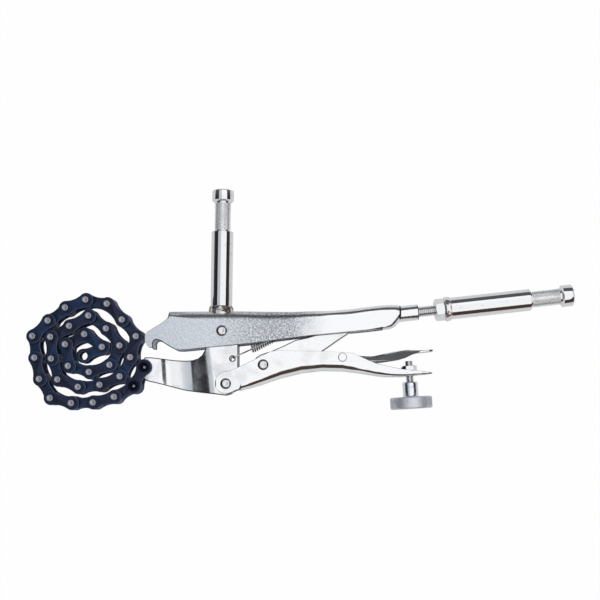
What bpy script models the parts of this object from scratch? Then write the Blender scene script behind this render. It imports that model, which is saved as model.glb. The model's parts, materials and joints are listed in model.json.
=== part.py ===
"""Locking chain clamp with two spigots, lying on its side.

The clamp is drawn round its jaw pivot: +X runs from the jaw to the rear spigot, +Y from
the lower handle to the side spigot, and Z is the width of the tool, zero at its middle.
"""

import math

import bmesh
import bpy
from mathutils import Matrix, Vector

MM = 0.001

# Clearances and overruns
RUNNING_GAP = 0.3 * MM
CUT_OVERRUN = 6.0 * MM
EDGE_BREAK = 0.3 * MM
MERGE_DISTANCE = 0.002 * MM

# Upper handle, a pressed channel drawn into a tube at the rear
UPPER_LENGTH = 200.0 * MM
UPPER_DEPTH = 28.0 * MM
UPPER_HALF_WIDTH = 12.3 * MM
UPPER_SHEET = 2.5 * MM
UPPER_FOLD_RADIUS = 5.5 * MM
# Station along the length, top, bottom, half width, upper corner, lower corner
UPPER_SHARES = (
    (-0.2825, -0.164, -0.221, 1.0, 0.06, 0.06),
    (-0.2790, -0.104, -0.293, 1.0, 0.06, 0.06),
    (-0.2710, -0.032, -0.382, 1.0, 0.06, 0.06),
    (-0.2630, 0.011, -0.443, 1.0, 0.06, 0.06),
    (-0.2500, 0.068, -0.454, 1.0, 0.06, 0.06),
    (-0.2200, 0.196, -0.468, 1.0, 0.06, 0.06),
    (-0.2020, 0.293, -0.482, 1.0, 0.06, 0.06),
    (-0.1950, 0.357, -0.486, 1.0, 0.06, 0.06),
    (-0.1932, 0.507, -0.486, 1.0, 0.90, 0.06),
    (-0.1480, 0.514, -0.504, 1.0, 0.95, 0.06),
    (-0.1100, 0.518, -0.479, 1.0, 0.95, 0.06),
    (-0.0600, 0.525, -0.443, 1.0, 0.95, 0.06),
    (0.0000, 0.529, -0.404, 1.0, 0.95, 0.06),
    (0.0500, 0.525, -0.371, 1.0, 0.95, 0.06),
    (0.1100, 0.500, -0.325, 1.0, 0.95, 0.06),
    (0.1830, 0.473, -0.250, 1.0, 0.95, 0.06),
    (0.2560, 0.470, -0.182, 1.0, 0.95, 0.06),
    (0.3300, 0.493, -0.121, 1.0, 0.95, 0.06),
    (0.4000, 0.525, -0.075, 1.0, 0.95, 0.06),
    (0.4760, 0.579, -0.021, 0.98, 1.00, 0.06),
    (0.5400, 0.643, 0.021, 0.88, 1.00, 0.10),
    (0.5900, 0.689, 0.057, 0.72, 1.02, 0.30),
    (0.6200, 0.704, 0.082, 0.61, 1.02, 0.60),
    (0.6370, 0.704, 0.139, 0.55, 1.02, 0.90),
    (0.6540, 0.693, 0.268, 0.51, 1.00, 1.00),
)
UPPER_WEB_START_SHARE = -0.1932
UPPER_CHANNEL_END_SHARE = 0.5900
# Hook cut into the underside of both nose plates
HOOK_SHARES = (
    (-0.2500, -0.700),
    (-0.2500, -0.311),
    (-0.2455, -0.250),
    (-0.2370, -0.232),
    (-0.2285, -0.250),
    (-0.2200, -0.275),
    (-0.2020, -0.361),
    (-0.1800, -0.454),
    (-0.1640, -0.506),
    (-0.1500, -0.700),
)

# Threaded tube, screw and spigot at the rear, on one slanted axis
TUBE_MOUTH_SHARE = 0.7225
TUBE_AXIS_HEIGHT = 14.6 * MM
TUBE_SLOPE = math.radians(6.3)
TUBE_RADIUS = 5.8 * MM
TUBE_LENGTH = 23.0 * MM
ROD_RADIUS = 3.9 * MM
ROD_INSIDE = 32.3 * MM
ROD_OUTSIDE = 44.0 * MM
JAM_NUT_OFFSET = 12.3 * MM
JAM_NUT_LENGTH = 7.2 * MM
JAM_NUT_ACROSS = 16.4 * MM

# Both spigots
SPIGOT_RADIUS = 8.0 * MM
SPIGOT_NECK_RADIUS = 5.9 * MM
SPIGOT_NECK_LENGTH = 20.6 * MM
SPIGOT_HEAD_LENGTH = 9.6 * MM
SPIGOT_CHAMFER = 1.6 * MM
SIDE_BARREL_LENGTH = 59.8 * MM
REAR_BARREL_LENGTH = 65.0 * MM
SIDE_SPIGOT_OFFSET = -1.1 * MM
SIDE_SPIGOT_LEAN = math.radians(0.9)
WELD_RADIUS = 10.6 * MM
WELD_HEIGHT = 4.6 * MM

# Jaw, two joggled cheeks
HANDLE_PIVOT_X = 2.9 * MM
HANDLE_PIVOT_DROP = 38.6 * MM
# The chain anchor lies under the tip of the upper handle's nose
CHAIN_ANCHOR_SHARE = 0.2855
CHAIN_ANCHOR_DROP = 26.4 * MM
CHEEK_SHEET = 2.4 * MM
CHEEK_SPRING_HOLE_RADIUS = 1.7 * MM
CHEEK_WAIST_HALF_WIDTH = 4.7 * MM
CHEEK_TIP_LENGTH = 4.1 * MM
# Outline round the jaw, in shares of the chain anchor's and the handle pivot's distance.
# Past the anchor, at -1, a share counts the length of the tip.
CHEEK_OUTLINE_SHARES = (
    (-0.990, -0.492),
    (-0.900, -0.497),
    (-0.734, -0.526),
    (-0.604, -0.549),
    (-0.475, -0.557),
    (-0.387, -0.549),
    (-0.310, -0.516),
    (-0.257, -0.453),
    (-0.219, -0.358),
    (-0.180, -0.190),
    (-0.158, -0.040),
    (-0.133, 0.100),
    (-0.080, 0.190),
    (0.000, 0.225),
    (0.080, 0.200),
    (0.150, 0.130),
    (0.195, 0.010),
    (0.210, -0.100),
    (0.210, -0.840),
    (0.196, -1.000),
    (0.165, -1.110),
    (0.110, -1.190),
    (0.040, -1.220),
    (-0.091, -1.196),
    (-0.284, -1.168),
    (-0.475, -1.129),
    (-0.604, -1.082),
    (-0.797, -1.006),
    (-0.965, -0.950),
    (-1.348, -0.880),
    (-1.905, -0.780),
    (-2.000, -0.680),
    (-1.695, -0.580),
)
# Where the cheeks bend inwards, out again and run flat, from the jaw pivot
CHEEK_BEND_SHARES = (-0.16, -0.37, -0.60, -0.77)

# Lower handle, a pressed channel with a round web
TOGGLE_PIVOT_SHARE = 0.1717
TOGGLE_PIVOT_RISE = 13.8 * MM
RELEASE_PIVOT_SHARE = 0.5359
RELEASE_PIVOT_RISE = 19.3 * MM
LOWER_LENGTH = 159.0 * MM
LOWER_DEPTH = 20.0 * MM
LOWER_SHEET = 2.2 * MM
LOWER_FOLD_RADIUS = 7.5 * MM
# Station from the handle pivot, top, bottom, half width, upper corner, lower corner
LOWER_SHARES = (
    (-0.0480, 0.085, -0.085, 1.0, 0.04, 0.04),
    (-0.0430, 0.210, -0.190, 1.0, 0.04, 0.04),
    (-0.0310, 0.345, -0.290, 1.0, 0.04, 0.04),
    (-0.0120, 0.430, -0.355, 1.0, 0.04, 0.04),
    (0.0157, 0.460, -0.350, 1.0, 0.04, 0.04),
    (0.0446, 0.555, -0.240, 1.0, 0.04, 0.04),
    (0.0650, 0.625, -0.200, 1.0, 0.04, 0.04),
    (0.0670, 0.635, -0.240, 1.0, 0.04, 0.45),
    (0.1110, 0.800, -0.150, 1.0, 0.04, 0.75),
    (0.1600, 0.990, -0.040, 1.0, 0.04, 0.90),
    (0.2080, 1.185, 0.090, 1.0, 0.04, 1.00),
    (0.2540, 1.210, 0.210, 1.0, 0.04, 1.00),
    (0.3480, 1.195, 0.395, 1.0, 0.04, 1.00),
    (0.4430, 1.180, 0.485, 1.0, 0.04, 1.00),
    (0.5360, 1.150, 0.470, 1.0, 0.04, 1.00),
    (0.5830, 1.120, 0.430, 1.0, 0.04, 1.00),
    (0.6140, 1.005, 0.400, 1.0, 0.04, 1.00),
    (0.6480, 0.880, 0.360, 1.0, 0.04, 0.90),
    (0.6900, 0.740, 0.305, 1.0, 0.04, 0.75),
    (0.7370, 0.655, 0.260, 1.0, 0.04, 0.60),
    (0.8060, 0.540, 0.265, 1.0, 0.04, 0.45),
    (0.8500, 0.495, 0.290, 0.98, 0.04, 0.32),
    (0.9000, 0.465, 0.335, 0.94, 0.04, 0.16),
    (0.9350, 0.425, 0.360, 0.86, 0.04, 0.08),
    (0.9500, 0.415, 0.375, 0.68, 0.02, 0.02),
)
LOWER_WEB_START_SHARE = 0.0660
LOWER_CHANNEL_END_SHARE = 0.9000

# Toggle link between the lower handle and the tip of the adjusting screw
TOGGLE_HALF_WIDTH = 6.2 * MM
TOGGLE_TIP_GAP = 4.9 * MM
TOGGLE_TIP_DROP = 0.45 * MM
# Outline of the link, in shares of its reach and of its rise to the screw
TOGGLE_OUTLINE_SHARES = (
    (-0.090, 0.080),
    (-0.085, -0.080),
    (-0.050, -0.185),
    (0.020, -0.225),
    (0.080, -0.190),
    (0.190, -0.080),
    (0.385, 0.105),
    (0.515, 0.220),
    (0.577, 0.308),
    (0.696, 0.489),
    (0.820, 0.669),
    (0.880, 0.757),
    (0.983, 0.930),
    (1.000, 0.985),
    (0.998, 1.035),
    (0.974, 1.068),
    (0.928, 1.025),
    (0.800, 0.870),
    (0.618, 0.700),
    (0.423, 0.576),
    (0.305, 0.520),
    (0.188, 0.395),
    (0.072, 0.288),
    (-0.020, 0.225),
    (-0.066, 0.165),
)

# Release lever, a folded channel with a finger tab
LEVER_HALF_WIDTH = 7.2 * MM
LEVER_SHEET = 1.6 * MM
LEVER_LENGTH = 66.0 * MM
LEVER_DEPTH = 8.0 * MM
LEVER_CORNER = 2.0 * MM
# Station from the release pivot, top, bottom, half width, upper corner, lower corner
LEVER_SHARES = (
    (-0.110, 0.200, -0.250, 1.00, 0.60, 0.15),
    (-0.070, 0.330, -0.480, 1.00, 0.80, 0.15),
    (0.000, 0.350, -0.600, 1.00, 0.80, 0.15),
    (0.150, 0.230, -0.650, 1.00, 0.80, 0.15),
    (0.240, 0.160, -0.590, 1.00, 0.80, 0.15),
    (0.318, 0.130, -0.540, 1.00, 0.80, 0.15),
    (0.363, 0.175, -0.490, 1.00, 0.80, 0.15),
    (0.450, 0.335, -0.400, 1.00, 0.80, 0.15),
    (0.545, 0.500, -0.290, 1.00, 0.80, 0.15),
    (0.640, 0.640, -0.160, 1.02, 0.80, 0.15),
    (0.727, 0.725, 0.060, 1.06, 0.70, 0.15),
    (0.790, 0.690, 0.320, 1.12, 0.45, 0.15),
    (0.850, 0.660, 0.440, 1.16, 0.25, 0.15),
    (0.930, 0.690, 0.500, 1.14, 0.20, 0.15),
    (0.990, 0.730, 0.550, 1.00, 0.20, 0.15),
    (1.010, 0.735, 0.590, 0.70, 0.10, 0.10),
)
LEVER_CHANNEL_END_SHARE = 0.727

# Lock screw through the tail of the lower handle
LOCK_SCREW_SHARE = 0.8503
LOCK_SCREW_RISE = 7.0 * MM
LOCK_SCREW_TILT = math.radians(3.5)
LOCK_SCREW_RADIUS = 2.9 * MM
LOCK_SCREW_ABOVE = 10.0 * MM
LOCK_NUT_OFFSET = 1.7 * MM
LOCK_NUT_LENGTH = 5.0 * MM
LOCK_NUT_ACROSS = 10.0 * MM
LOCK_HUB_OFFSET = 5.4 * MM
LOCK_HUB_LENGTH = 11.0 * MM
LOCK_HUB_RADIUS = 5.7 * MM
LOCK_KNOB_RADIUS = 15.5 * MM
LOCK_KNOB_LENGTH = 9.0 * MM
LOCK_KNOB_CHAMFER = 0.8 * MM
LOCK_BORE_DEPTH = 12.0 * MM

# Rivets
RIVET_SHANK_RADIUS = 3.0 * MM
RIVET_HEAD_RADIUS = 3.9 * MM
RIVET_HEAD_HEIGHT = 0.8 * MM
RELEASE_SHANK_RADIUS = 2.3 * MM
RELEASE_HEAD_RADIUS = 3.1 * MM
HOLLOW_SHANK_RADIUS = 3.1 * MM
HOLLOW_HEAD_RADIUS = 3.9 * MM
HOLLOW_BORE_RADIUS = 2.2 * MM

# Chain
PITCH = 15.875 * MM
ANCHOR_PLATE_RADIUS = 5.9 * MM
PLATE_RADIUS = 5.3 * MM
PLATE_WAIST = 3.8 * MM
PLATE_SHEET = 1.8 * MM
ROLLER_RADIUS = 4.8 * MM
ROLLER_HALF_LENGTH = 4.6 * MM
PIN_RADIUS = 2.5 * MM
PIN_HALF_LENGTH = 13.2 * MM
# Places that the pins of the coil lie towards, in pitches from the chain anchor
COIL_PLACE_SHARES = (
    (-0.53, -0.93),
    (-1.44, -1.42),
    (-2.41, -1.65),
    (-3.42, -1.66),
    (-4.40, -1.40),
    (-4.84, -0.47),
    (-5.03, 0.51),
    (-5.11, 1.51),
    (-4.32, 2.20),
    (-3.50, 2.80),
    (-2.52, 3.15),
    (-1.58, 2.88),
    (-0.96, 2.13),
    (-0.38, 1.44),
    (-0.61, 0.46),
    (-1.07, -0.39),
    (-1.97, -0.80),
    (-2.92, -0.91),
    (-3.86, -0.61),
    (-4.21, 0.28),
    (-4.27, 1.20),
    (-3.50, 1.83),
    (-2.65, 2.29),
    (-1.81, 1.83),
    (-1.22, 1.13),
    (-1.50, 0.21),
    (-2.38, -0.19),
    (-3.34, 0.01),
    (-3.59, 0.95),
    (-2.76, 1.48),
    (-1.95, 0.95),
    (-2.79, 0.54),
)

# Jaw spring
SPRING_HOLE_X = 7.6 * MM
SPRING_HOLE_DROP = 20.2 * MM
SPRING_LUG_X = 61.4 * MM
SPRING_LUG_RISE = 7.3 * MM
SPRING_LUG_WIDTH = 2.4 * MM
SPRING_OFFSET = 3.4 * MM
SPRING_WIRE_RADIUS = 0.5 * MM
SPRING_COIL_RADIUS = 2.3 * MM
SPRING_PITCH = 2.0 * MM
SPRING_TURNS = 19
SPRING_LEAD_IN = 15.0 * MM
SPRING_HOOK_RADIUS = 1.6 * MM
SPRING_POINTS_PER_TURN = 8

ROUND_SIDES = 24
SMALL_SIDES = 16
PIN_SIDES = 8
ROLLER_SIDES = 10
CORNER_STEPS = 3
LOWER_CORNER_STEPS = 2
PLATE_STEPS = 5
SHADE_ANGLE = math.radians(35)

INNER_HALF_WIDTH = UPPER_HALF_WIDTH - UPPER_SHEET
LOWER_HALF_WIDTH = INNER_HALF_WIDTH + LOWER_SHEET
CHEEK_HALF_WIDTH = INNER_HALF_WIDTH - RUNNING_GAP
INNER_PLATE_FACE = ROLLER_HALF_LENGTH + PLATE_SHEET
OUTER_PLATE_BACK = INNER_PLATE_FACE + RUNNING_GAP
OUTER_PLATE_FACE = OUTER_PLATE_BACK + PLATE_SHEET
HANDLE_PIVOT = Vector((HANDLE_PIVOT_X, -HANDLE_PIVOT_DROP, 0))
TOGGLE_SEAT = Vector((TOGGLE_PIVOT_SHARE * LOWER_LENGTH, TOGGLE_PIVOT_RISE, 0))
RELEASE_SEAT = Vector((RELEASE_PIVOT_SHARE * LOWER_LENGTH, RELEASE_PIVOT_RISE, 0))
SCREW_SEAT = Vector((LOCK_SCREW_SHARE * LOWER_LENGTH, LOCK_SCREW_RISE, 0))
TOGGLE_PIVOT = HANDLE_PIVOT + TOGGLE_SEAT
RELEASE_PIVOT = HANDLE_PIVOT + RELEASE_SEAT
LOCK_SEAT = HANDLE_PIVOT + SCREW_SEAT
CHAIN_ANCHOR_X = CHAIN_ANCHOR_SHARE * UPPER_LENGTH
CHAIN_ANCHOR = Vector((-CHAIN_ANCHOR_X, -CHAIN_ANCHOR_DROP, 0))
TUBE_MOUTH = Vector((TUBE_MOUTH_SHARE * UPPER_LENGTH, TUBE_AXIS_HEIGHT, 0))
TUBE_AXIS = Vector((math.cos(TUBE_SLOPE), math.sin(TUBE_SLOPE), 0))
SCREW_TIP = TUBE_MOUTH - ROD_INSIDE * TUBE_AXIS
TOGGLE_REACH = SCREW_TIP.x - TOGGLE_PIVOT.x - TOGGLE_TIP_GAP
TOGGLE_RISE = SCREW_TIP.y - TOGGLE_PIVOT.y - TOGGLE_TIP_DROP
LOCK_AXIS = Vector((-math.sin(LOCK_SCREW_TILT), math.cos(LOCK_SCREW_TILT), 0))
UP_THE_SIDE = Vector((math.sin(SIDE_SPIGOT_LEAN), math.cos(SIDE_SPIGOT_LEAN), 0))
Z_AXIS = Vector((0, 0, 1))


def clear_scene():
    for item in list(bpy.data.objects):
        bpy.data.objects.remove(item)


def material(name, colour, roughness, metallic):
    found = bpy.data.materials.get(name)
    if found:
        return found
    made = bpy.data.materials.new(name)
    made.use_nodes = True
    shader = made.node_tree.nodes["Principled BSDF"]
    shader.inputs["Base Color"].default_value = (*colour, 1)
    shader.inputs["Roughness"].default_value = roughness
    shader.inputs["Metallic"].default_value = metallic
    return made


def chrome():
    return material("chrome plate", (0.80, 0.80, 0.82), 0.12, 1)


def satin():
    return material("satin chrome", (0.68, 0.70, 0.75), 0.32, 1)


def black_oxide():
    return material("black oxide", (0.030, 0.035, 0.070), 0.42, 0.3)


def piece_from(name, bm, look=None):
    """Turn a closed bmesh into an object with its faces pointing out."""
    bmesh.ops.recalc_face_normals(bm, faces=bm.faces)
    mesh = bpy.data.meshes.new(name)
    bm.to_mesh(mesh)
    bm.free()
    piece = bpy.data.objects.new(name, mesh)
    bpy.context.scene.collection.objects.link(piece)
    if look:
        mesh.materials.append(look)
    return piece


def smooth(piece):
    piece.data.shade_smooth()
    piece.data.set_sharp_from_angle(angle=SHADE_ANGLE)
    return piece


def combine(piece, others, operation):
    """Bake Boolean cuts or unions into the piece and drop the other shapes."""
    for other in others:
        other.hide_render = True
        other.display_type = "WIRE"
        modifier = piece.modifiers.new(other.name, "BOOLEAN")
        modifier.operation = operation
        modifier.solver = "EXACT"
        modifier.object = other
    graph = bpy.context.evaluated_depsgraph_get()
    baked = bpy.data.meshes.new_from_object(piece.evaluated_get(graph))
    piece.modifiers.clear()
    piece.data = baked
    for other in others:
        bpy.data.objects.remove(other)
    return piece


def cut(piece, *cutters):
    return combine(piece, cutters, "DIFFERENCE")


def fuse(piece, *others):
    return combine(piece, others, "UNION")


def hang(piece, pivot, parent):
    """Put the piece's origin on a pivot without moving its surface."""
    piece.data.transform(Matrix.Translation(-pivot))
    piece.parent = parent
    piece.location = pivot
    return piece


def stand(piece, foot, axis, parent):
    """Stand a piece that is drawn along Z on a foot point, along an axis."""
    piece.rotation_mode = "QUATERNION"
    piece.rotation_quaternion = axis.to_track_quat("Z", "Y")
    piece.location = foot
    piece.parent = parent
    return piece


def prism(name, outline, low, high, look=None):
    bm = bmesh.new()
    face = bm.faces.new([bm.verts.new((x, y, low)) for x, y in outline])
    grown = bmesh.ops.extrude_face_region(bm, geom=[face])
    raised = [item for item in grown["geom"] if isinstance(item, bmesh.types.BMVert)]
    bmesh.ops.translate(bm, verts=raised, vec=(0, 0, high - low))
    return piece_from(name, bm, look)


def turned(name, profile, sides, look=None, ring=False):
    """Spin a profile of radius and height pairs about Z; a ring's profile is closed."""
    bm = bmesh.new()
    verts = [bm.verts.new((radius, 0, height)) for radius, height in profile]
    pairs = list(zip(verts, verts[1:]))
    if ring:
        pairs.append((verts[-1], verts[0]))
    edges = [bm.edges.new(pair) for pair in pairs]
    bmesh.ops.spin(
        bm,
        geom=verts + edges,
        cent=(0, 0, 0),
        axis=(0, 0, 1),
        angle=math.tau,
        steps=sides,
        use_merge=True,
    )
    bmesh.ops.remove_doubles(bm, verts=bm.verts, dist=MERGE_DISTANCE)
    return smooth(piece_from(name, bm, look))


def rod(name, radius, low, high, sides, look=None):
    return turned(name, ((0, low), (radius, low), (radius, high), (0, high)), sides, look)


def hexagon(name, across, low, high, look=None):
    corner = across / math.sqrt(3)
    points = []
    for side in range(6):
        turn = math.tau * side / 6
        points.append((corner * math.cos(turn), corner * math.sin(turn)))
    return prism(name, points, low, high, look)


def corner_arc(height, side, radius, quadrant, steps):
    """Points of one rounded corner of a section, from a quarter turn to the next."""
    points = []
    for step in range(steps + 1):
        turn = (quadrant + step / steps) * math.pi / 2
        points.append((height + radius * math.sin(turn), side + radius * math.cos(turn)))
    return points


def full_section(x, top, bottom, half, upper, lower):
    """Closed box section with rounded corners at one station."""
    points = corner_arc(top - upper, half - upper, upper, 0, CORNER_STEPS)
    points += corner_arc(top - upper, upper - half, upper, 1, CORNER_STEPS)
    points += corner_arc(bottom + lower, lower - half, lower, 2, LOWER_CORNER_STEPS)
    points += corner_arc(bottom + lower, half - lower, lower, 3, LOWER_CORNER_STEPS)
    return [(x, y, z) for y, z in points]


def void_section(x, floor, mouth, half, radius):
    """Section of a channel's hollow: round at its floor, square past its mouth."""
    side = 1 if floor > mouth else -1
    points = []
    for y, z in corner_arc(0, half - radius, radius, 0, CORNER_STEPS):
        points.append((x, floor + side * (y - radius), z))
    for y, z in corner_arc(0, radius - half, radius, 1, CORNER_STEPS):
        points.append((x, floor + side * (y - radius), z))
    points.append((x, mouth, -half))
    points.append((x, mouth, half))
    return points


def lofted(name, rings, look=None):
    bm = bmesh.new()
    loops = [[bm.verts.new(point) for point in ring] for ring in rings]
    for near, far in zip(loops, loops[1:]):
        for index in range(len(near)):
            after = (index + 1) % len(near)
            bm.faces.new((near[index], near[after], far[after], far[index]))
    bm.faces.new(loops[0])
    bm.faces.new(loops[-1])
    return piece_from(name, bm, look)


def scaled_stations(shares, length, depth, half_width, corner):
    stations = []
    for x, top, bottom, half, upper, lower in shares:
        half_size = half * half_width
        height = (top - bottom) * depth
        limit = min(height / 2, half_size) - EDGE_BREAK / 2
        upper_size = min(upper * corner, limit)
        lower_size = min(lower * corner, limit)
        row = (x * length, top * depth, bottom * depth, half_size, upper_size, lower_size)
        stations.append(row)
    return stations


def hole(place, radius, half_length, sides=SMALL_SIDES):
    """Cutter along Z at a place in the plan."""
    cutter = rod("hole", radius, -half_length, half_length, sides)
    cutter.location = place
    return cutter


def box(name, low, high):
    outline = ((low[0], low[1]), (high[0], low[1]), (high[0], high[1]), (low[0], high[1]))
    return prism(name, outline, low[2], high[2])


def upper_channel_void(stations):
    start = UPPER_WEB_START_SHARE * UPPER_LENGTH
    end = UPPER_CHANNEL_END_SHARE * UPPER_LENGTH
    kept = [row for row in stations if start <= row[0] <= end]
    first = (start - CUT_OVERRUN, *kept[0][1:])
    rings = []
    for x, top, bottom, half, upper, lower in [first] + kept:
        inner = half - UPPER_SHEET
        radius = max(min(upper, half) - UPPER_SHEET, EDGE_BREAK)
        rings.append(void_section(x, top - UPPER_SHEET, -UPPER_DEPTH, inner, radius))
    return lofted("channel void", rings)


def upper_handle(frame):
    stations = scaled_stations(
        UPPER_SHARES, UPPER_LENGTH, UPPER_DEPTH, UPPER_HALF_WIDTH, UPPER_FOLD_RADIUS
    )
    piece = lofted("upper_handle", [full_section(*row) for row in stations], chrome())
    tube = rod("tube", TUBE_RADIUS, -TUBE_LENGTH, 0, ROUND_SIDES)
    stand(tube, TUBE_MOUTH, TUBE_AXIS, None)
    fuse(piece, tube)
    start = UPPER_WEB_START_SHARE * UPPER_LENGTH
    nose_low = (-UPPER_LENGTH / 2, -UPPER_DEPTH, -INNER_HALF_WIDTH)
    nose_gap = box("nose gap", nose_low, (start, UPPER_DEPTH, INNER_HALF_WIDTH))
    bore = rod("bore", ROD_RADIUS + RUNNING_GAP, -ROD_INSIDE, CUT_OVERRUN, SMALL_SIDES)
    stand(bore, TUBE_MOUTH, TUBE_AXIS, None)
    hook_points = [(x * UPPER_LENGTH, y * UPPER_DEPTH) for x, y in HOOK_SHARES]
    reach = UPPER_HALF_WIDTH + CUT_OVERRUN
    hook = prism("hook", hook_points, -reach, reach)
    pivot = hole((0, 0, 0), RIVET_SHANK_RADIUS + RUNNING_GAP, reach)
    cut(piece, upper_channel_void(stations), nose_gap, bore, hook, pivot)
    fuse(piece, spring_lug())
    return smooth(hang(piece, Vector((0, 0, 0)), frame))


def upper_top_at(place):
    """Height of the upper handle's back at a place along it."""
    rows = [(x * UPPER_LENGTH, top * UPPER_DEPTH) for x, top, *rest in UPPER_SHARES]
    for (near_x, near_top), (far_x, far_top) in zip(rows, rows[1:]):
        if near_x <= place <= far_x:
            part = (place - near_x) / (far_x - near_x)
            return near_top + part * (far_top - near_top)
    return rows[-1][1]


def spring_lug():
    """Lug lanced down from the back of the channel, that the spring hooks on."""
    roof = upper_top_at(SPRING_LUG_X) - UPPER_SHEET / 2
    low = (
        SPRING_LUG_X + RUNNING_GAP,
        SPRING_LUG_RISE - SPRING_COIL_RADIUS,
        SPRING_OFFSET - SPRING_LUG_WIDTH,
    )
    high = (SPRING_LUG_X + RUNNING_GAP + UPPER_SHEET, roof, SPRING_OFFSET + SPRING_LUG_WIDTH)
    return box("lug", low, high)


def spigot(name, barrel, bore_radius=0, bore_depth=0):
    neck_end = barrel + SPIGOT_NECK_LENGTH
    top = neck_end + SPIGOT_HEAD_LENGTH
    profile = [(SPIGOT_RADIUS - EDGE_BREAK, 0), (SPIGOT_RADIUS, EDGE_BREAK)]
    profile.append((SPIGOT_RADIUS, barrel - EDGE_BREAK))
    profile.append((SPIGOT_NECK_RADIUS, barrel + EDGE_BREAK))
    profile.append((SPIGOT_NECK_RADIUS, neck_end - EDGE_BREAK))
    profile.append((SPIGOT_RADIUS, neck_end + SPIGOT_CHAMFER))
    profile.append((SPIGOT_RADIUS, top - SPIGOT_CHAMFER / 2))
    profile.append((SPIGOT_RADIUS - SPIGOT_CHAMFER / 2, top))
    profile.append((0, top))
    if bore_radius:
        profile = [(0, bore_depth), (bore_radius, bore_depth), (bore_radius, 0)] + profile
    else:
        profile = [(0, 0)] + profile
    return turned(name, profile, ROUND_SIDES, chrome())


def side_spigot(frame):
    seat = upper_top_at(SIDE_SPIGOT_OFFSET) + RUNNING_GAP
    foot = Vector((SIDE_SPIGOT_OFFSET, seat, 0))
    post = spigot("side_spigot", SIDE_BARREL_LENGTH)
    stand(post, foot, UP_THE_SIDE, frame)
    inner = SPIGOT_RADIUS + RUNNING_GAP
    toe = WELD_RADIUS - inner
    profile = (
        (inner, 0),
        (WELD_RADIUS, 0),
        (WELD_RADIUS, WELD_HEIGHT / 4),
        (inner + toe / 2, WELD_HEIGHT * 3 / 4),
        (inner, WELD_HEIGHT),
    )
    bead = turned("spigot_weld", profile, ROUND_SIDES, chrome(), ring=True)
    stand(bead, foot, UP_THE_SIDE, frame)


def rivet(name, place, shank, head, half_length, look, frame):
    """Rivet with a head on each side, along the width of the tool."""
    end = half_length + RUNNING_GAP + RIVET_HEAD_HEIGHT
    neck = half_length + RUNNING_GAP
    crown = head - RIVET_HEAD_HEIGHT / 2
    profile = (
        (0, -end),
        (crown, -end),
        (head, RIVET_HEAD_HEIGHT / 2 - end),
        (head, -neck),
        (shank, -neck),
        (shank, neck),
        (head, neck),
        (head, end - RIVET_HEAD_HEIGHT / 2),
        (crown, end),
        (0, end),
    )
    piece = turned(name, profile, SMALL_SIDES, look)
    piece.location = place
    piece.parent = frame
    return piece


def hollow_rivet(name, look):
    """Hollow chain rivet over the anchor plates."""
    neck = OUTER_PLATE_FACE + RUNNING_GAP
    end = neck + RIVET_HEAD_HEIGHT
    profile = (
        (HOLLOW_BORE_RADIUS, -end),
        (HOLLOW_HEAD_RADIUS, -end),
        (HOLLOW_HEAD_RADIUS, -neck),
        (HOLLOW_SHANK_RADIUS, -neck),
        (HOLLOW_SHANK_RADIUS, neck),
        (HOLLOW_HEAD_RADIUS, neck),
        (HOLLOW_HEAD_RADIUS, end),
        (HOLLOW_BORE_RADIUS, end),
    )
    return turned(name, profile, SMALL_SIDES, look, ring=True)


def cheek_offset(place):
    """Height of a cheek's middle above the tool's middle plane at a place along it."""
    outer = CHEEK_HALF_WIDTH - CHEEK_SHEET / 2
    waist = CHEEK_WAIST_HALF_WIDTH - CHEEK_SHEET / 2
    tip = INNER_PLATE_FACE - CHEEK_SHEET / 2
    bends = [share * CHAIN_ANCHOR_X for share in CHEEK_BEND_SHARES]
    if place >= bends[0]:
        return outer
    if place >= bends[1]:
        return outer + (waist - outer) * (place - bends[0]) / (bends[1] - bends[0])
    if place >= bends[2]:
        return waist
    if place >= bends[3]:
        return waist + (tip - waist) * (place - bends[2]) / (bends[3] - bends[2])
    return tip


def cheek_place(share):
    """Place along the jaw, in the anchor's distance and past it in the tip's length."""
    return max(share, -1) * CHAIN_ANCHOR_X + min(share + 1, 0) * CHEEK_TIP_LENGTH


def jaw_cheek(name, side, frame):
    outline = [(cheek_place(x), y * HANDLE_PIVOT_DROP) for x, y in CHEEK_OUTLINE_SHARES]
    sheet = prism(name, outline, -CHEEK_SHEET / 2, CHEEK_SHEET / 2)
    bm = bmesh.new()
    bm.from_mesh(sheet.data)
    for share in CHEEK_BEND_SHARES:
        whole = bm.verts[:] + bm.edges[:] + bm.faces[:]
        line = (share * CHAIN_ANCHOR_X, 0, 0)
        bmesh.ops.bisect_plane(bm, geom=whole, plane_co=line, plane_no=(1, 0, 0))
    for vert in bm.verts:
        vert.co.z = side * (vert.co.z + cheek_offset(vert.co.x))
    bpy.data.objects.remove(sheet)
    piece = piece_from(name, bm, satin())
    reach = UPPER_HALF_WIDTH + CUT_OVERRUN
    spring_place = Vector((SPRING_HOLE_X, -SPRING_HOLE_DROP, 0))
    cut(
        piece,
        hole((0, 0, 0), RIVET_SHANK_RADIUS + RUNNING_GAP, reach),
        hole(HANDLE_PIVOT, RIVET_SHANK_RADIUS + RUNNING_GAP, reach),
        hole(CHAIN_ANCHOR, HOLLOW_SHANK_RADIUS + RUNNING_GAP, reach),
        hole(spring_place, CHEEK_SPRING_HOLE_RADIUS, reach),
    )
    return hang(piece, Vector((0, 0, 0)), frame)


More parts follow.
